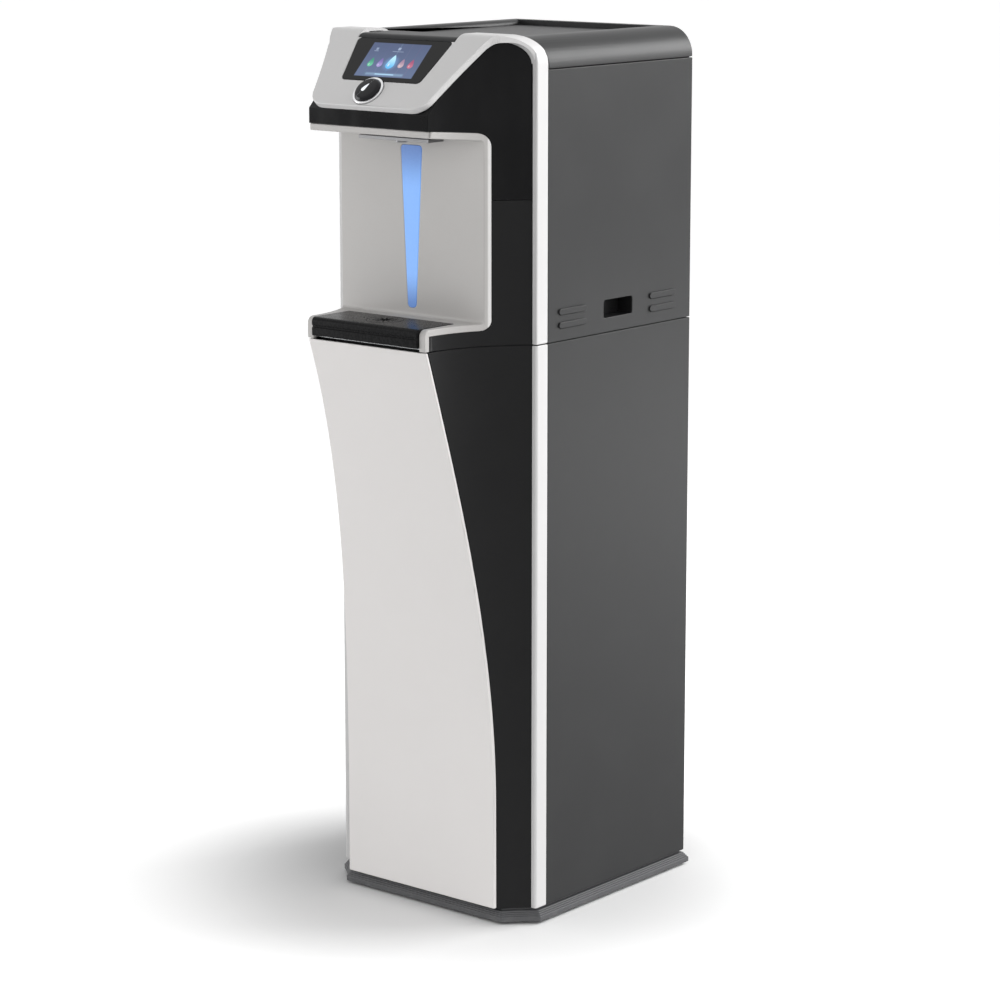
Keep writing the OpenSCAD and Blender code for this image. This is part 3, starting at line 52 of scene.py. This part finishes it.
class Wire:
    """One socket of a finish. Arithmetic on it adds Math nodes, and node() adds any other node."""

    def __init__(self, socket):
        self.socket = socket

    def node(self, kind, settings=None, sockets=None, out=0):
        """Adds a node: its settings first, a ramp's stops among them, then its sockets."""
        made = self.socket.id_data.nodes.new("ShaderNode" + kind)
        for name, value in (settings or {}).items():
            if name != "stops":
                setattr(made, name, value)
                continue
            while len(made.color_ramp.elements) < len(value):
                made.color_ramp.elements.new(1.0)
            for stop, (place, colour) in zip(made.color_ramp.elements, value):
                stop.position, stop.color = place, (*colour, 1.0)
        for name, value in (sockets or {}).items():
            if isinstance(value, Wire):
                self.socket.id_data.links.new(value.socket, made.inputs[name])
            else:
                made.inputs[name].default_value = value
        return Wire(made.outputs[out])

    def sum(self, operation, first, second=0.0):
        return self.node("Math", {"operation": operation}, {0: first, 1: second})

    def __add__(self, other):
        return self.sum("ADD", self, other)

    def __radd__(self, other):
        return self.sum("ADD", other, self)

    def __sub__(self, other):
        return self.sum("SUBTRACT", self, other)

    def __rsub__(self, other):
        return self.sum("SUBTRACT", other, self)

    def __mul__(self, other):
        return self.sum("MULTIPLY", self, other)

    def __rmul__(self, other):
        return self.sum("MULTIPLY", other, self)

    def __truediv__(self, other):
        return self.sum("DIVIDE", self, other)

    def __rtruediv__(self, other):
        return self.sum("DIVIDE", other, self)

    def __pow__(self, other):
        return self.sum("POWER", self, other)

    def __abs__(self):
        return self.sum("ABSOLUTE", self)

    def lesser(self, other):
        return self.sum("MINIMUM", self, other)

    def larger(self, other):
        return self.sum("MAXIMUM", self, other)

    def ramp(self, low, high, start=0.0, end=1.0):
        """Goes smoothly from start to end as the value goes from low to high."""
        return self.node("MapRange", {"interpolation_type": "SMOOTHSTEP"},
                         {"Value": self, "From Min": low, "From Max": high,
                          "To Min": start, "To Max": end})

    def parts(self):
        """The x, y and z of a point."""
        split = self.node("SeparateXYZ", {}, {"Vector": self}).socket.node
        return [Wire(socket) for socket in split.outputs]

    def grain(self, scale, detail=3.0, roughness=0.55, stretch=None):
        """Smooth random mottling from 0 to 1 with that many bumps a metre."""
        place = self if stretch is None else self.node("Mapping", {}, {"Vector": self, "Scale": stretch})
        return self.node("TexNoise", {}, {"Vector": place, "Scale": scale, "Detail": detail,
                                          "Roughness": roughness})

    def cells(self, scale, out=0, feature="F1"):
        """Cells with that many a metre: 0 is the distance to a cell's middle, 1 its random colour."""
        return self.node("TexVoronoi", {"feature": feature}, {"Vector": self, "Scale": scale}, out)

    def patches(self, scale):
        """Cells with that many a metre, each with a random value of its own from 0 to 1."""
        return self.node("SeparateColor", {}, {"Color": self.cells(scale, 1)})

    def tint(self, first, second):
        """The first colour where the value is 0 and the second where it is 1."""
        mix = self.socket.id_data.nodes.new("ShaderNodeMix")
        mix.data_type = "RGBA"
        for socket, value in ((mix.inputs[0], self), (mix.inputs[6], first), (mix.inputs[7], second)):
            if isinstance(value, Wire):
                self.socket.id_data.links.new(value.socket, socket)
            else:
                socket.default_value = (*value, 1.0)
        return Wire(mix.outputs[2])


def finish(name, **constants):
    """A new material with constants on its shader.

    Returns the material, a function that feeds its shader, and the point that is being shaded.
    """
    material = bpy.data.materials.new(name)
    material.use_nodes = True
    tree = material.node_tree
    shader = tree.nodes["Principled BSDF"]
    for socket, value in constants.items():
        shader.inputs[socket.replace("_", " ")].default_value = value
    point = Wire(tree.nodes.new("ShaderNodeTexCoord").outputs["Object"])

    def feed(socket, value):
        """Links a wire to the shader; to Relief go the height of a relief and its depth in metres."""
        if socket == "Relief":
            height, depth = value
            value = height.node("Bump", {}, {"Height": height, "Distance": depth, "Strength": 1.0})
            socket = "Normal"
        tree.links.new(value.socket, shader.inputs[socket])

    return material, feed, point


def dress(material, *nodes):
    """Puts the material on CAD nodes, on every slot that they have."""
    for name in nodes:
        for slot in frame["nodes"][name].material_slots:
            slot.material = material


bodies = frame["record"]["behaviour"]["bodies"]
body_of = {node: body for body, nodes in bodies.items() for node in nodes}
smooth_below = math.radians(30)
level_below = math.radians(0.5)
strips = 4
same_point = 0.00002
above_all = 9.0


def rounded(material, edge, *nodes, merge=same_point, under=above_all):
    """Stands smooth copies in for CAD nodes, their outer edges rounded over a width of edge, in metres.

    A copy's points closer than `merge` are joined, and its level triangles too. Faces that meet at less
    than smooth_below are shaded as one. An edge that stands out more sharply than that, with its middle
    lower than `under`, is rounded over in strips.
    """
    for node in nodes:
        shell = bmesh.new()
        shell.from_mesh(frame["nodes"][node].data)
        bmesh.ops.remove_doubles(shell, verts=shell.verts, dist=merge)
        bmesh.ops.dissolve_limit(shell, angle_limit=level_below, verts=shell.verts, edges=shell.edges)
        weight = shell.edges.layers.float.new("bevel_weight_edge")
        for side in shell.edges:
            height = (side.verts[0].co.z + side.verts[1].co.z) / 2
            stands_out = side.is_convex and side.calc_face_angle(0.0) > smooth_below
            side[weight] = float(stands_out and height < under)
        mesh = bpy.data.meshes.new(node + "_finished")
        shell.to_mesh(mesh)
        shell.free()
        mesh.attributes.remove(mesh.attributes["custom_normal"])
        mesh.materials.clear()
        mesh.materials.append(material)
        mesh.shade_smooth()
        mesh.set_sharp_from_angle(angle=smooth_below)
        piece = bpy.data.objects.new(node + "_finished", mesh)
        bpy.context.scene.collection.objects.link(piece)
        bevel = piece.modifiers.new("edge_round", "BEVEL")
        bevel.limit_method, bevel.width, bevel.segments = "WEIGHT", edge, strips
        bevel.use_clamp_overlap, bevel.harden_normals = False, True
        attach(piece, body_of[node])
        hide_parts(node)


# Plinth and levelling feet
# The plinth is an injection-moulded skirt of dark grey ABS with a fine spark-eroded grain. The
# machine's frame is screwed down on it, and four rubber feet on threaded studs level it.
skirt, feed, point = finish("grained_skirt_plastic")
z = point.parts()[2]
mould_grain = point.grain(1400, 2)
dust = (1 - z.ramp(0.004, 0.02)) * point.grain(60, 4).ramp(0.45, 0.7)
feed("Base Color", (mould_grain * 0.35 + dust * 0.5).tint((0.062, 0.063, 0.067), (0.125, 0.125, 0.128)))
feed("Roughness", 0.46 + mould_grain * 0.12 + dust * 0.2)
feed("Relief", (mould_grain, 0.00005))
rounded(skirt, 0.0015, "base_plinth")

foot_rubber, feed, point = finish("foot_rubber", Specular_IOR_Level=0.3)
scuff = point.grain(240, 4)
feed("Base Color", scuff.ramp(0.35, 0.75).tint((0.012, 0.012, 0.012), (0.035, 0.034, 0.033)))
feed("Roughness", 0.62 + scuff * 0.25)
feed("Relief", (point.grain(1800, 2), 0.00004))
rounded(foot_rubber, 0.0004, "foot_front_left", "foot_front_right", "foot_rear_left", "foot_rear_right")

# Zinc-coated frame and plates
# The frame, the chassis plate and the filter bracket are folded from zinc-coated steel sheet, so
# their faces carry the crystals of the zinc bath, each with its own grey and its own gloss.
zinc, feed, point = finish("zinc_coated_sheet", Metallic=0.9)
crystals = 70
crystal = point.patches(crystals)
border = point.cells(crystals, 0, "DISTANCE_TO_EDGE").ramp(0.0, 0.05)
feed("Base Color", (crystal * 0.8 + border * 0.2).tint((0.33, 0.34, 0.35), (0.52, 0.53, 0.54)))
feed("Roughness", 0.32 + crystal * 0.2)
feed("Relief", (border + point.grain(900, 2) * 0.3, 0.00003))
dress(zinc, "cabinet_frame", "filter_bracket", "chassis_base")

# Side panels, rear panels, deck plate and cover
# Folded steel sheet, powder-coated satin dark grey. The coat has the faint orange peel of powder
# paint and a fine fleck, and the louvres and hand holes are pressed and cut in before painting.
panel_paint, feed, point = finish("dark_grey_powder_coat", Specular_IOR_Level=0.32)
peel = point.grain(520, 2)
fleck = point.cells(2600, 0).ramp(0.0, 0.35, 1.0, 0.0)
wear = point.grain(9, 5)
shade = fleck * 0.22 + wear.ramp(0.3, 0.8) * 0.3
feed("Base Color", shade.tint((0.0165, 0.0168, 0.0175), (0.031, 0.0313, 0.0322)))
feed("Roughness", 0.36 + wear * 0.08 + peel * 0.06)
feed("Relief", (peel + point.grain(2200, 2) * 0.25, 0.00006))
rounded(panel_paint, 0.0008, "lower_side_panel_left", "lower_side_panel_right", "upper_side_panel_left",
        "upper_side_panel_right")
dress(panel_paint, "lower_rear_panel", "upper_rear_panel", "deck_plate")
rounded(panel_paint, 0.0012, "top_cover", merge=0.0002)

# Cheeks, hand cups and top inlay
# Injection-moulded black ABS. The cheeks curve in from the corner trims to the narrow nose with a
# satin grain; the hand cups clip in behind the hand holes, and the inlay closes the top.
satin, feed, point = finish("satin_black_moulding", Specular_IOR_Level=0.15)
mould_grain = point.grain(1700, 2)
wipe = point.grain(14, 4)
shade = mould_grain * 0.4 + wipe * 0.3
feed("Base Color", shade.tint((0.0085, 0.0085, 0.009), (0.017, 0.017, 0.0175)))
feed("Roughness", 0.34 + wipe.ramp(0.3, 0.8) * 0.1 + mould_grain * 0.06)
feed("Relief", (mould_grain, 0.00003))
rounded(satin, 0.0008, "lower_cheek_left", "lower_cheek_right", "upper_cheek_left", "upper_cheek_right")
rounded(satin, 0.0008, "hand_cups")

inlay, feed, point = finish("grained_top_inlay", Specular_IOR_Level=0.2)
mould_grain = point.grain(1300, 2)
feed("Base Color", (mould_grain * 0.5).tint((0.013, 0.013, 0.014), (0.024, 0.024, 0.0255)))
feed("Roughness", 0.38 + mould_grain * 0.12)
feed("Relief", (mould_grain, 0.00004))
rounded(inlay, 0.002, "top_inlay")

# Head shell
# The shell between the console and the cheeks is moulded in black ABS from a polished tool, so it
# is glossier than the cheeks below its seam. Handling leaves faint smears in the gloss.
gloss, feed, point = finish("polished_black_moulding", Specular_IOR_Level=0.16)
smear = point.grain(22, 5, 0.6, (1.0, 1.0, 0.4))
feed("Base Color", smear.tint((0.004, 0.004, 0.0045), (0.008, 0.008, 0.0085)))
feed("Roughness", 0.14 + smear.ramp(0.45, 0.8) * 0.1)
feed("Relief", (point.grain(90, 2), 0.00003))
rounded(gloss, 0.001, "head_shell")

# Corner trims and console frame
# Moulded ABS lacquered silver-white. Fine metal flakes in the lacquer give the rims their light
# sheen. The console frame runs from the nose over the bend and down both corners as one piece.
lacquer, feed, point = finish("silver_white_lacquer", Specular_IOR_Level=0.5, Coat_Weight=0.15,
                              Coat_Roughness=0.25)
flake = point.patches(3800)
cloud = point.grain(11, 4)
feed("Base Color", (flake * 0.35 + cloud * 0.3).tint((0.585, 0.58, 0.58), (0.67, 0.662, 0.66)))
feed("Roughness", 0.34 + flake * 0.1 + cloud * 0.06)
feed("Relief", (point.grain(480, 2), 0.00002))
bend_height = 1.31
rounded(lacquer, 0.002, "console_frame", merge=0.0006, under=bend_height)
rounded(lacquer, 0.0015, "lower_trim_left", "lower_trim_right")

# Front panel and its catches
# One moulding with a curved skin and ribs behind, lacquered warm white. Four ball studs behind it
# snap into the catches of the cabinet, so the whole panel pulls off to reach the filters.
white_coat, feed, point = finish("warm_white_lacquer", Coat_Weight=0.1, Coat_Roughness=0.2)
z = point.parts()[2]
cloud = point.grain(6, 5)
scuff = point.grain(160, 4, 0.6, (1.0, 1.0, 0.25)).ramp(0.66, 0.8) * (1 - z.ramp(0.03, 0.2))
feed("Base Color", (cloud * 0.4 + scuff * 0.4).tint((0.765, 0.745, 0.735), (0.69, 0.67, 0.655)))
feed("Roughness", 0.36 + cloud * 0.08 + scuff * 0.15)
feed("Relief", (point.grain(420, 2), 0.00003))
rounded(white_coat, 0.002, "front_panel", merge=0.0003)

white_moulding, feed, point = finish("white_acetal_moulding", Subsurface_Weight=0.05)
mottle = point.grain(130, 3)
feed("Base Color", mottle.tint((0.76, 0.77, 0.78), (0.83, 0.84, 0.85)))
feed("Roughness", 0.38 + mottle * 0.15)
feed("Relief", (point.grain(700, 2), 0.00004))
rounded(white_moulding, 0.0004, "panel_catches", "filter_head")

# Filter cartridges
# Two blow-moulded polypropylene cartridges turn a quarter into the head that hangs on the bracket.
# Each carries a plain coloured band that tells the carbon block from the sediment filter.
band_foot, band_top, band_edge = 0.6, 0.655, 0.0005
for side, band_colour in (("left", (0.03, 0.16, 0.42)), ("right", (0.05, 0.33, 0.2))):
    cartridge, feed, point = finish("filter_cartridge_" + side)
    z = point.parts()[2]
    band = z.ramp(band_foot, band_foot + band_edge) * (1 - z.ramp(band_top, band_top + band_edge))
    mottle = point.grain(90, 4)
    feed("Base Color", band.tint(mottle.tint((0.74, 0.76, 0.78), (0.84, 0.85, 0.86)), band_colour))
    feed("Roughness", 0.3 + mottle * 0.15 - band * 0.05)
    feed("Relief", (mottle, 0.0001))
    rounded(cartridge, 0.0006, "filter_cartridge_" + side)

# Water inlet, regulator and tubes
# The bulkhead fitting and the pressure regulator are turned brass. The water runs in quarter-inch
# polyethylene tube, milky and slightly glossy, pushed into the collets of the fittings.
brass, feed, point = finish("turned_brass", Metallic=1.0)
tool_mark = point.grain(600, 3, 0.5, (1.0, 0.15, 1.0))
feed("Base Color", tool_mark.tint((0.62, 0.45, 0.2), (0.75, 0.58, 0.28)))
feed("Roughness", 0.22 + tool_mark * 0.2)
feed("Relief", (tool_mark, 0.00003))
rounded(brass, 0.0003, "inlet_fitting", "pressure_regulator")

water_tube, feed, point = finish("polyethylene_tube", Subsurface_Weight=0.1)
mottle = point.grain(200, 3)
feed("Base Color", mottle.tint((0.68, 0.71, 0.75), (0.8, 0.82, 0.85)))
feed("Roughness", 0.3 + mottle * 0.15)
feed("Relief", (point.grain(900, 2), 0.00003))
rounded(water_tube, 0.0002, "supply_tube", "filtered_tube", "water_tubes")

# Niche liner
# A single moulding in silver-grey: roof, rear wall, shelf and the rim that lines the opening, its outer
# edge tinted near white as a painted highlight. It clips into the head shell and carries the tray, the
# light lens and the nozzle plate.
liner_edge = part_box("niche_liner")[1][0]
liner, feed, point = finish("silver_grey_liner", Coat_Weight=0.08, Coat_Roughness=0.3)
x, y, z = point.parts()
flake = point.patches(3400)
cloud = point.grain(10, 4)
splash = point.grain(70, 5).ramp(0.66, 0.78) * (1 - z.ramp(0.92, 1.02))
# painted highlight: the outer edge of the liner, where its rim faces sideways, is tinted near white in place
# of the light that catches it
painted_rim_highlight = abs(x).ramp(liner_edge - 0.004, liner_edge - 0.0025)
silver = (flake * 0.3 + cloud * 0.35).tint((0.44, 0.428, 0.416), (0.52, 0.507, 0.494))
feed("Base Color", painted_rim_highlight.tint(silver, (0.76, 0.75, 0.74)))
feed("Roughness", 0.36 + flake * 0.08 + cloud * 0.06 + splash * 0.12)
feed("Relief", (point.grain(460, 2), 0.00002))
rounded(liner, 0.0015, "niche_liner", merge=0.0003)

# Niche light
# A tapered lens of blue-tinted acrylic is bonded in the rear wall in front of a strip of white
# diodes. It glows evenly in its middle, and dims where the strip ends behind it.
lens, feed, point = finish("blue_lit_lens", Emission_Strength=1.0)
z = point.parts()[2]
lens_foot, glow_from, glow_to, lens_top = 0.927, 0.985, 1.10, 1.172
top_fall = z.ramp(glow_to, lens_top)
low_fall = z.ramp(lens_foot, glow_from, 1.0, 0.0)
glow = (1 - top_fall * 0.75) * (1 - low_fall * 0.7)
milk = point.grain(260, 3)
lit = glow.tint((0.04, 0.08, 0.24), (0.2, 0.41, 0.84))
feed("Base Color", milk.tint((0.02, 0.04, 0.1), (0.04, 0.07, 0.16)))
feed("Emission Color", lit)
feed("Roughness", 0.2 + milk * 0.1)
rounded(lens, 0.0004, "light_lens")

# Circuit boards
# Glass-fibre boards under green solder resist, with the tracks showing through as lighter lines.
board, feed, point = finish("green_circuit_board", Coat_Weight=0.5, Coat_Roughness=0.2)
track = point.cells(260, 0, "DISTANCE_TO_EDGE").ramp(0.04, 0.09, 1.0, 0.0)
feed("Base Color", track.tint((0.01, 0.09, 0.035), (0.03, 0.2, 0.08)))
feed("Roughness", 0.42 - track * 0.1)
feed("Relief", (track, 0.00005))
dress(board, "light_board", "control_board")

# Nozzle plate and nozzle
# The nozzle plate is a thin stainless strip with a satin line finish, and the nozzle through it is
# turned stainless.
bright, feed, point = finish("satin_stainless", Metallic=0.9)
line = point.grain(700, 3, 0.6, (0.04, 1.0, 1.0))
feed("Base Color", line.tint((0.17, 0.17, 0.175), (0.28, 0.28, 0.285)))
feed("Roughness", 0.26 + line * 0.16)
feed("Relief", (line, 0.00002))
rounded(bright, 0.0006, "nozzle_plate", "nozzle")

# Drip tray
# A gloss black ABS moulding that slides out of the shelf. Its lip is rounded, a groove runs round
# the rim, and a loose drain insert of the same black ABS closes the basin.
tray, feed, point = finish("black_drip_tray", Specular_IOR_Level=0.08)
splash = point.grain(240, 5)
feed("Base Color", splash.tint((0.005, 0.005, 0.0055), (0.01, 0.01, 0.0105)))
feed("Roughness", 0.26 + splash.ramp(0.45, 0.7) * 0.1)
feed("Relief", (point.grain(150, 2), 0.00003))
rounded(tray, 0.0012, "drip_tray")
rounded(tray, 0.0004, "drain_insert")

# Display and its glass
# A five-inch display is bonded behind a chemically hardened glass, printed black round the window.
# Its picture is a slate-blue ground with five plain drops in a row, two small marks above them and
# a bar below.
console_foot, console_edge = -0.268, 1.2325
tilt = math.radians(44.4)
lcd_middle, lcd_half_w, lcd_half_h = 0.0895, 0.0553, 0.0325
drop_up, bar_up = -0.0085, -0.0275


def drop(u, v, across, up, radius, tip):
    """A drop's mask: a half disc below its widest line, and above it two flanks that meet in a tip."""
    du, dv = (u - across) / radius, (v - up) / radius
    round_half = (1 - dv * dv).larger(0.0) ** 0.5
    flank = (1 - dv / tip).larger(0.0) ** 0.8 * (1 + dv * (0.35 / tip))
    above = dv.ramp(-0.02, 0.02)
    width = round_half * (1 - above) + flank * above
    return (width - abs(du)).ramp(-0.06, 0.08)


def bar(u, v, across, up, half_w, half_h, soft=0.0003):
    """A bar's mask with soft ends: the product of a window across and a window up."""
    wide = abs(u - across).ramp(half_w - soft, half_w + soft, 1.0, 0.0)
    high = abs(v - up).ramp(half_h - soft, half_h + soft, 1.0, 0.0)
    return wide * high


def on_slope(point, middle):
    """Where a point lies across the console's slope, and how far up it from a middle on it."""
    x, y, z = point.parts()
    return x, (y - console_foot) * math.cos(tilt) + (z - console_edge) * math.sin(tilt) - middle


def picture(point):
    """The lit picture: a ground that brightens downwards, with the drops, marks and bar laid over it."""
    u, v = on_slope(point, lcd_middle)
    window = bar(u, v, 0.0, 0.0, lcd_half_w, lcd_half_h, 0.0004)
    cloud = point.grain(18, 2)
    ground = v.ramp(-lcd_half_h, lcd_half_h, 1.0, 0.0) * 0.6 + cloud * 0.3
    shown = ground.tint((0.07, 0.095, 0.19), (0.135, 0.185, 0.32))
    for across, colour, deep in ((-0.0385, (0.16, 0.62, 0.38), (0.05, 0.3, 0.2)),
                                 (-0.0205, (0.42, 0.33, 0.68), (0.2, 0.15, 0.42)),
                                 (0.0205, (0.62, 0.46, 0.5), (0.36, 0.22, 0.34)),
                                 (0.0385, (0.62, 0.18, 0.26), (0.36, 0.08, 0.18))):
        mask = drop(u, v, across, drop_up, 0.0052, 2.3)
        body = (v - drop_up).ramp(-0.005, 0.009).tint(colour, deep)
        shown = mask.tint(shown, body)
        shine = bar(u, v, across - 0.0018, drop_up - 0.001, 0.0006, 0.0016, 0.0005)
        shown = (shine * 0.6).tint(shown, (0.9, 0.95, 1.0))
    halo = ((u * u + (v + 0.006) * (v + 0.006)) ** 0.5).ramp(0.004, 0.017, 0.55, 0.0)
    shown = halo.tint(shown, (0.2, 0.45, 0.85))
    middle = drop(u, v, 0.0, drop_up, 0.0078, 2.4)
    body = (v - drop_up).ramp(-0.008, 0.014).tint((0.12, 0.52, 0.95), (0.5, 0.85, 1.0))
    shown = middle.tint(shown, body)
    shine = bar(u, v, -0.0026, drop_up - 0.0005, 0.0009, 0.0026, 0.0007)
    shown = (shine * 0.8).tint(shown, (1.0, 1.0, 1.0))
    left_block = bar(u, v, -0.042, 0.0205, 0.0022, 0.0022) * 0.5
    left_line = bar(u, v, -0.042, 0.0165, 0.004, 0.0005) * 0.6
    mid_block = bar(u, v, 0.0, 0.0222, 0.0026, 0.0024) * 0.6
    mid_line = bar(u, v, 0.0, 0.0168, 0.0105, 0.0005) * 0.5
    marks = left_block + left_line + (mid_block + mid_line)
    shown = marks.lesser(1.0).tint(shown, (0.5, 0.6, 0.8))
    line = bar(u, v, 0.0, bar_up, 0.018, 0.0008, 0.0006)
    line_glow = bar(u, v, 0.0, bar_up, 0.036, 0.0022, 0.0018) * 0.3
    shown = (line + line_glow).lesser(1.0).tint(shown, (0.45, 0.72, 0.95))
    return window.tint((0.0, 0.0, 0.0), shown), window


glass, feed, point = finish("printed_display_glass", Emission_Strength=1.0, Specular_IOR_Level=0.2)
lit, window = picture(point)
touch = point.grain(60, 5)
feed("Emission Color", lit)
feed("Base Color", window.tint((0.004, 0.004, 0.0045), (0.008, 0.009, 0.013)))
feed("Roughness", 0.07 + touch.ramp(0.5, 0.8) * 0.08)
rounded(glass, 0.0006, "display_glass")

lit_panel, feed, point = finish("lit_display_panel", Emission_Strength=1.0)
lit, window = picture(point)
feed("Emission Color", lit)
feed("Base Color", window.tint((0.1, 0.1, 0.105), (0.01, 0.01, 0.015)))
feed("Roughness", 0.3 + window * 0.1)
dress(lit_panel, "lcd_module")

# Dispense button and ring
# A gloss black dome with a white drop printed under its clear top, pushed in against a spring. The
# ring round it is turned and polished.
button_middle, button_left = 0.029, 0.009
button, feed, point = finish("button_dome", Specular_IOR_Level=0.2, Emission_Strength=0.35)
x, v = on_slope(point, button_middle)
u = x + button_left
turned = math.radians(24)
across = u * math.cos(turned) - v * math.sin(turned)
up = u * math.sin(turned) + v * math.cos(turned)
printed = drop(across, up, -0.0018, -0.004, 0.0037, 3.3)
touch = point.grain(120, 4)
feed("Base Color", printed.tint((0.008, 0.008, 0.01), (0.85, 0.87, 0.9)))
feed("Emission Color", printed.tint((0.0, 0.0, 0.0), (0.85, 0.9, 1.0)))
feed("Roughness", 0.08 + touch.ramp(0.5, 0.8) * 0.08)
rounded(button, 0.0006, "dispense_button")

ring, feed, point = finish("polished_button_ring", Metallic=0.9)
line = point.grain(500, 3, 0.5)
feed("Base Color", line.tint((0.78, 0.78, 0.79), (0.88, 0.88, 0.89)))
feed("Roughness", 0.16 + line * 0.12)
rounded(ring, 0.0008, "button_ring")

# Tanks, jacket, compressor, condenser, power supply and valve block
# The tanks are drawn from stainless sheet, the cold one in a jacket of poured foam, and the hot one
# bare in its bay. The compressor is a sealed shell on rubber grommets, in black enamel like the
# condenser, and a copper tube joins the two. The power supply has a zinc-coated case.
drawn, feed, point = finish("drawn_stainless", Metallic=1.0)
line = point.grain(500, 3, 0.6, (1.0, 1.0, 0.05))
feed("Base Color", line.tint((0.5, 0.51, 0.52), (0.64, 0.65, 0.66)))
feed("Roughness", 0.26 + line * 0.16)
feed("Relief", (line, 0.00003))
rounded(drawn, 0.0004, "cold_tank", "hot_tank")

jacket, feed, point = finish("poured_foam")
pore = point.cells(420, 0)
feed("Base Color", pore.tint((0.7, 0.66, 0.5), (0.82, 0.79, 0.66)))
feed("Roughness", 0.8 + pore * 0.1)
feed("Relief", (pore + point.grain(60, 4), 0.0004))
dress(jacket, "foam_jacket")

enamel, feed, point = finish("black_enamel", Coat_Weight=0.3, Coat_Roughness=0.2)
peel = point.grain(350, 3)
feed("Base Color", peel.tint((0.01, 0.01, 0.01), (0.02, 0.02, 0.02)))
feed("Roughness", 0.28 + peel * 0.15)
feed("Relief", (peel, 0.0001))
rounded(enamel, 0.0004, "compressor", "condenser")
rounded(foot_rubber, 0.0003, "compressor_grommets")

copper, feed, point = finish("drawn_copper", Metallic=1.0)
stain = point.grain(120, 4)
feed("Base Color", stain.tint((0.62, 0.3, 0.16), (0.42, 0.18, 0.1)))
feed("Roughness", 0.25 + stain * 0.25)
rounded(copper, 0.0002, "discharge_tube")

dress(zinc, "power_supply")
dress(white_moulding, "valve_block")

# Mains inlet and rear switches
# The appliance inlet and the two switch housings are black moulded nylon in the rear panel; the
# rockers are translucent red for the hot tank and green for the cold one.
nylon, feed, point = finish("black_nylon")
mould_grain = point.grain(900, 2)
feed("Base Color", mould_grain.tint((0.012, 0.012, 0.012), (0.024, 0.024, 0.024)))
feed("Roughness", 0.42 + mould_grain * 0.15)
feed("Relief", (mould_grain, 0.00004))
rounded(nylon, 0.0003, "mains_inlet")

for name, low, high in (("hot_switch", (0.4, 0.012, 0.012), (0.62, 0.03, 0.025)),
                        ("cold_switch", (0.012, 0.22, 0.05), (0.03, 0.4, 0.1))):
    rocker, feed, point = finish(name + "_rocker", Coat_Weight=0.3, Coat_Roughness=0.1)
    mottle = point.grain(300, 3)
    feed("Base Color", mottle.tint(low, high))
    feed("Roughness", 0.18 + mottle * 0.12)
    rounded(rocker, 0.0003, name)

# Studio
# A pale floor that runs out of sight and glows for the camera only away from the machine, so that a
# ring of floor round it is left darker, painted shade over its real shadow; a white world that lights
# more from the right, a low lamp and a high one behind the machine on its right, one in front of it on
# its left, and the camera.


def plane(name, corners):
    """A flat sheet through four corners, in their order."""
    mesh = bpy.data.meshes.new(name)
    mesh.from_pydata(corners, [], [(0, 1, 2, 3)])
    made = bpy.data.objects.new(name, mesh)
    bpy.context.scene.collection.objects.link(made)
    return made


# painted shade: within the first reach of the machine's middle the floor gets no glow, and it reaches full
# glow only at boost_reach, so the floor round the machine stays darker
floor_boost, painted_shade_reach, boost_reach = 0.45, 0.24, 0.62
reach = 60
corners = [(-reach, -reach, 0), (reach, -reach, 0), (reach, reach, 0), (-reach, reach, 0)]
floor = plane("floor", corners)
floor_paint, feed, point = finish("pale_floor", Roughness=0.9, Specular_IOR_Level=0.1, Emission_Strength=1.0)
feed("Base Color", point.grain(3, 3).tint((0.79, 0.79, 0.79), (0.82, 0.82, 0.82)))
away = point.node("VectorMath", {"operation": "LENGTH"}, {"Vector": point}, out="Value")
# the camera glow fades out towards the machine, which leaves painted shade round its base
shown = point.node("LightPath") * away.ramp(painted_shade_reach, boost_reach)
feed("Emission Color", shown.tint((0.0, 0.0, 0.0), (floor_boost, floor_boost, floor_boost)))
floor.data.materials.append(floor_paint)

world = bpy.data.worlds.new("studio")
bpy.context.scene.world = world
world.use_nodes = True
background = world.node_tree.nodes["Background"]
background.inputs["Color"].default_value = (1, 1, 1, 1)
world_level, right_share, sky_share = 0.8, 0.75, -0.15
light_path = world.node_tree.nodes.new("ShaderNodeLightPath")
seen, mirrored, through = (Wire(light_path.outputs[ray]) for ray in
                           ("Is Camera Ray", "Is Glossy Ray", "Is Transmission Ray"))
x, y, z = Wire(world.node_tree.nodes.new("ShaderNodeTexCoord").outputs["Generated"]).parts()
soft = world_level + x * right_share + z * sky_share
strength = soft + (seen + mirrored + through).lesser(1.0) * (1 - soft)
world.node_tree.links.new(strength.socket, background.inputs["Strength"])


def lamp(name, place, aim, size, power):
    """A soft lamp of that width and height, which looks from its place towards a point."""
    light = bpy.data.lights.new(name, "AREA")
    light.shape = "RECTANGLE"
    light.size, light.size_y = size
    light.energy = power
    made = bpy.data.objects.new(name, light)
    made.location = place
    made.rotation_euler = (Vector(aim) - Vector(place)).to_track_quat("-Z", "Y").to_euler()
    bpy.context.scene.collection.objects.link(made)


machine_middle = (0, 0, 0.7)
lamp("side_lamp", (1.8, 2.9, 0.15), machine_middle, (2.0, 0.3), 10)
lamp("high_lamp", (1.9, 2.6, 2.3), machine_middle, (2.0, 1.6), 92)
lamp("front_lamp", (-3.2, -1.9, 0.9), machine_middle, (2.0, 2.4), 60)

pitch, turn = math.radians(10.86), math.radians(39.6)
looks = Vector((-math.sin(turn) * math.cos(pitch), math.cos(turn) * math.cos(pitch), -math.sin(pitch)))
camera = bpy.data.objects.new("camera", bpy.data.cameras.new("camera"))
camera.location = (3.07196, -3.67323, 1.60821)
camera.rotation_euler = looks.to_track_quat("-Z", "Y").to_euler()
camera.data.sensor_width = 36
camera.data.lens = 114.41
camera.data.shift_y = -0.05
camera.data.clip_end = 200
bpy.context.scene.collection.objects.link(camera)
bpy.context.scene.camera = camera
bpy.context.scene.view_settings.view_transform = "Standard"
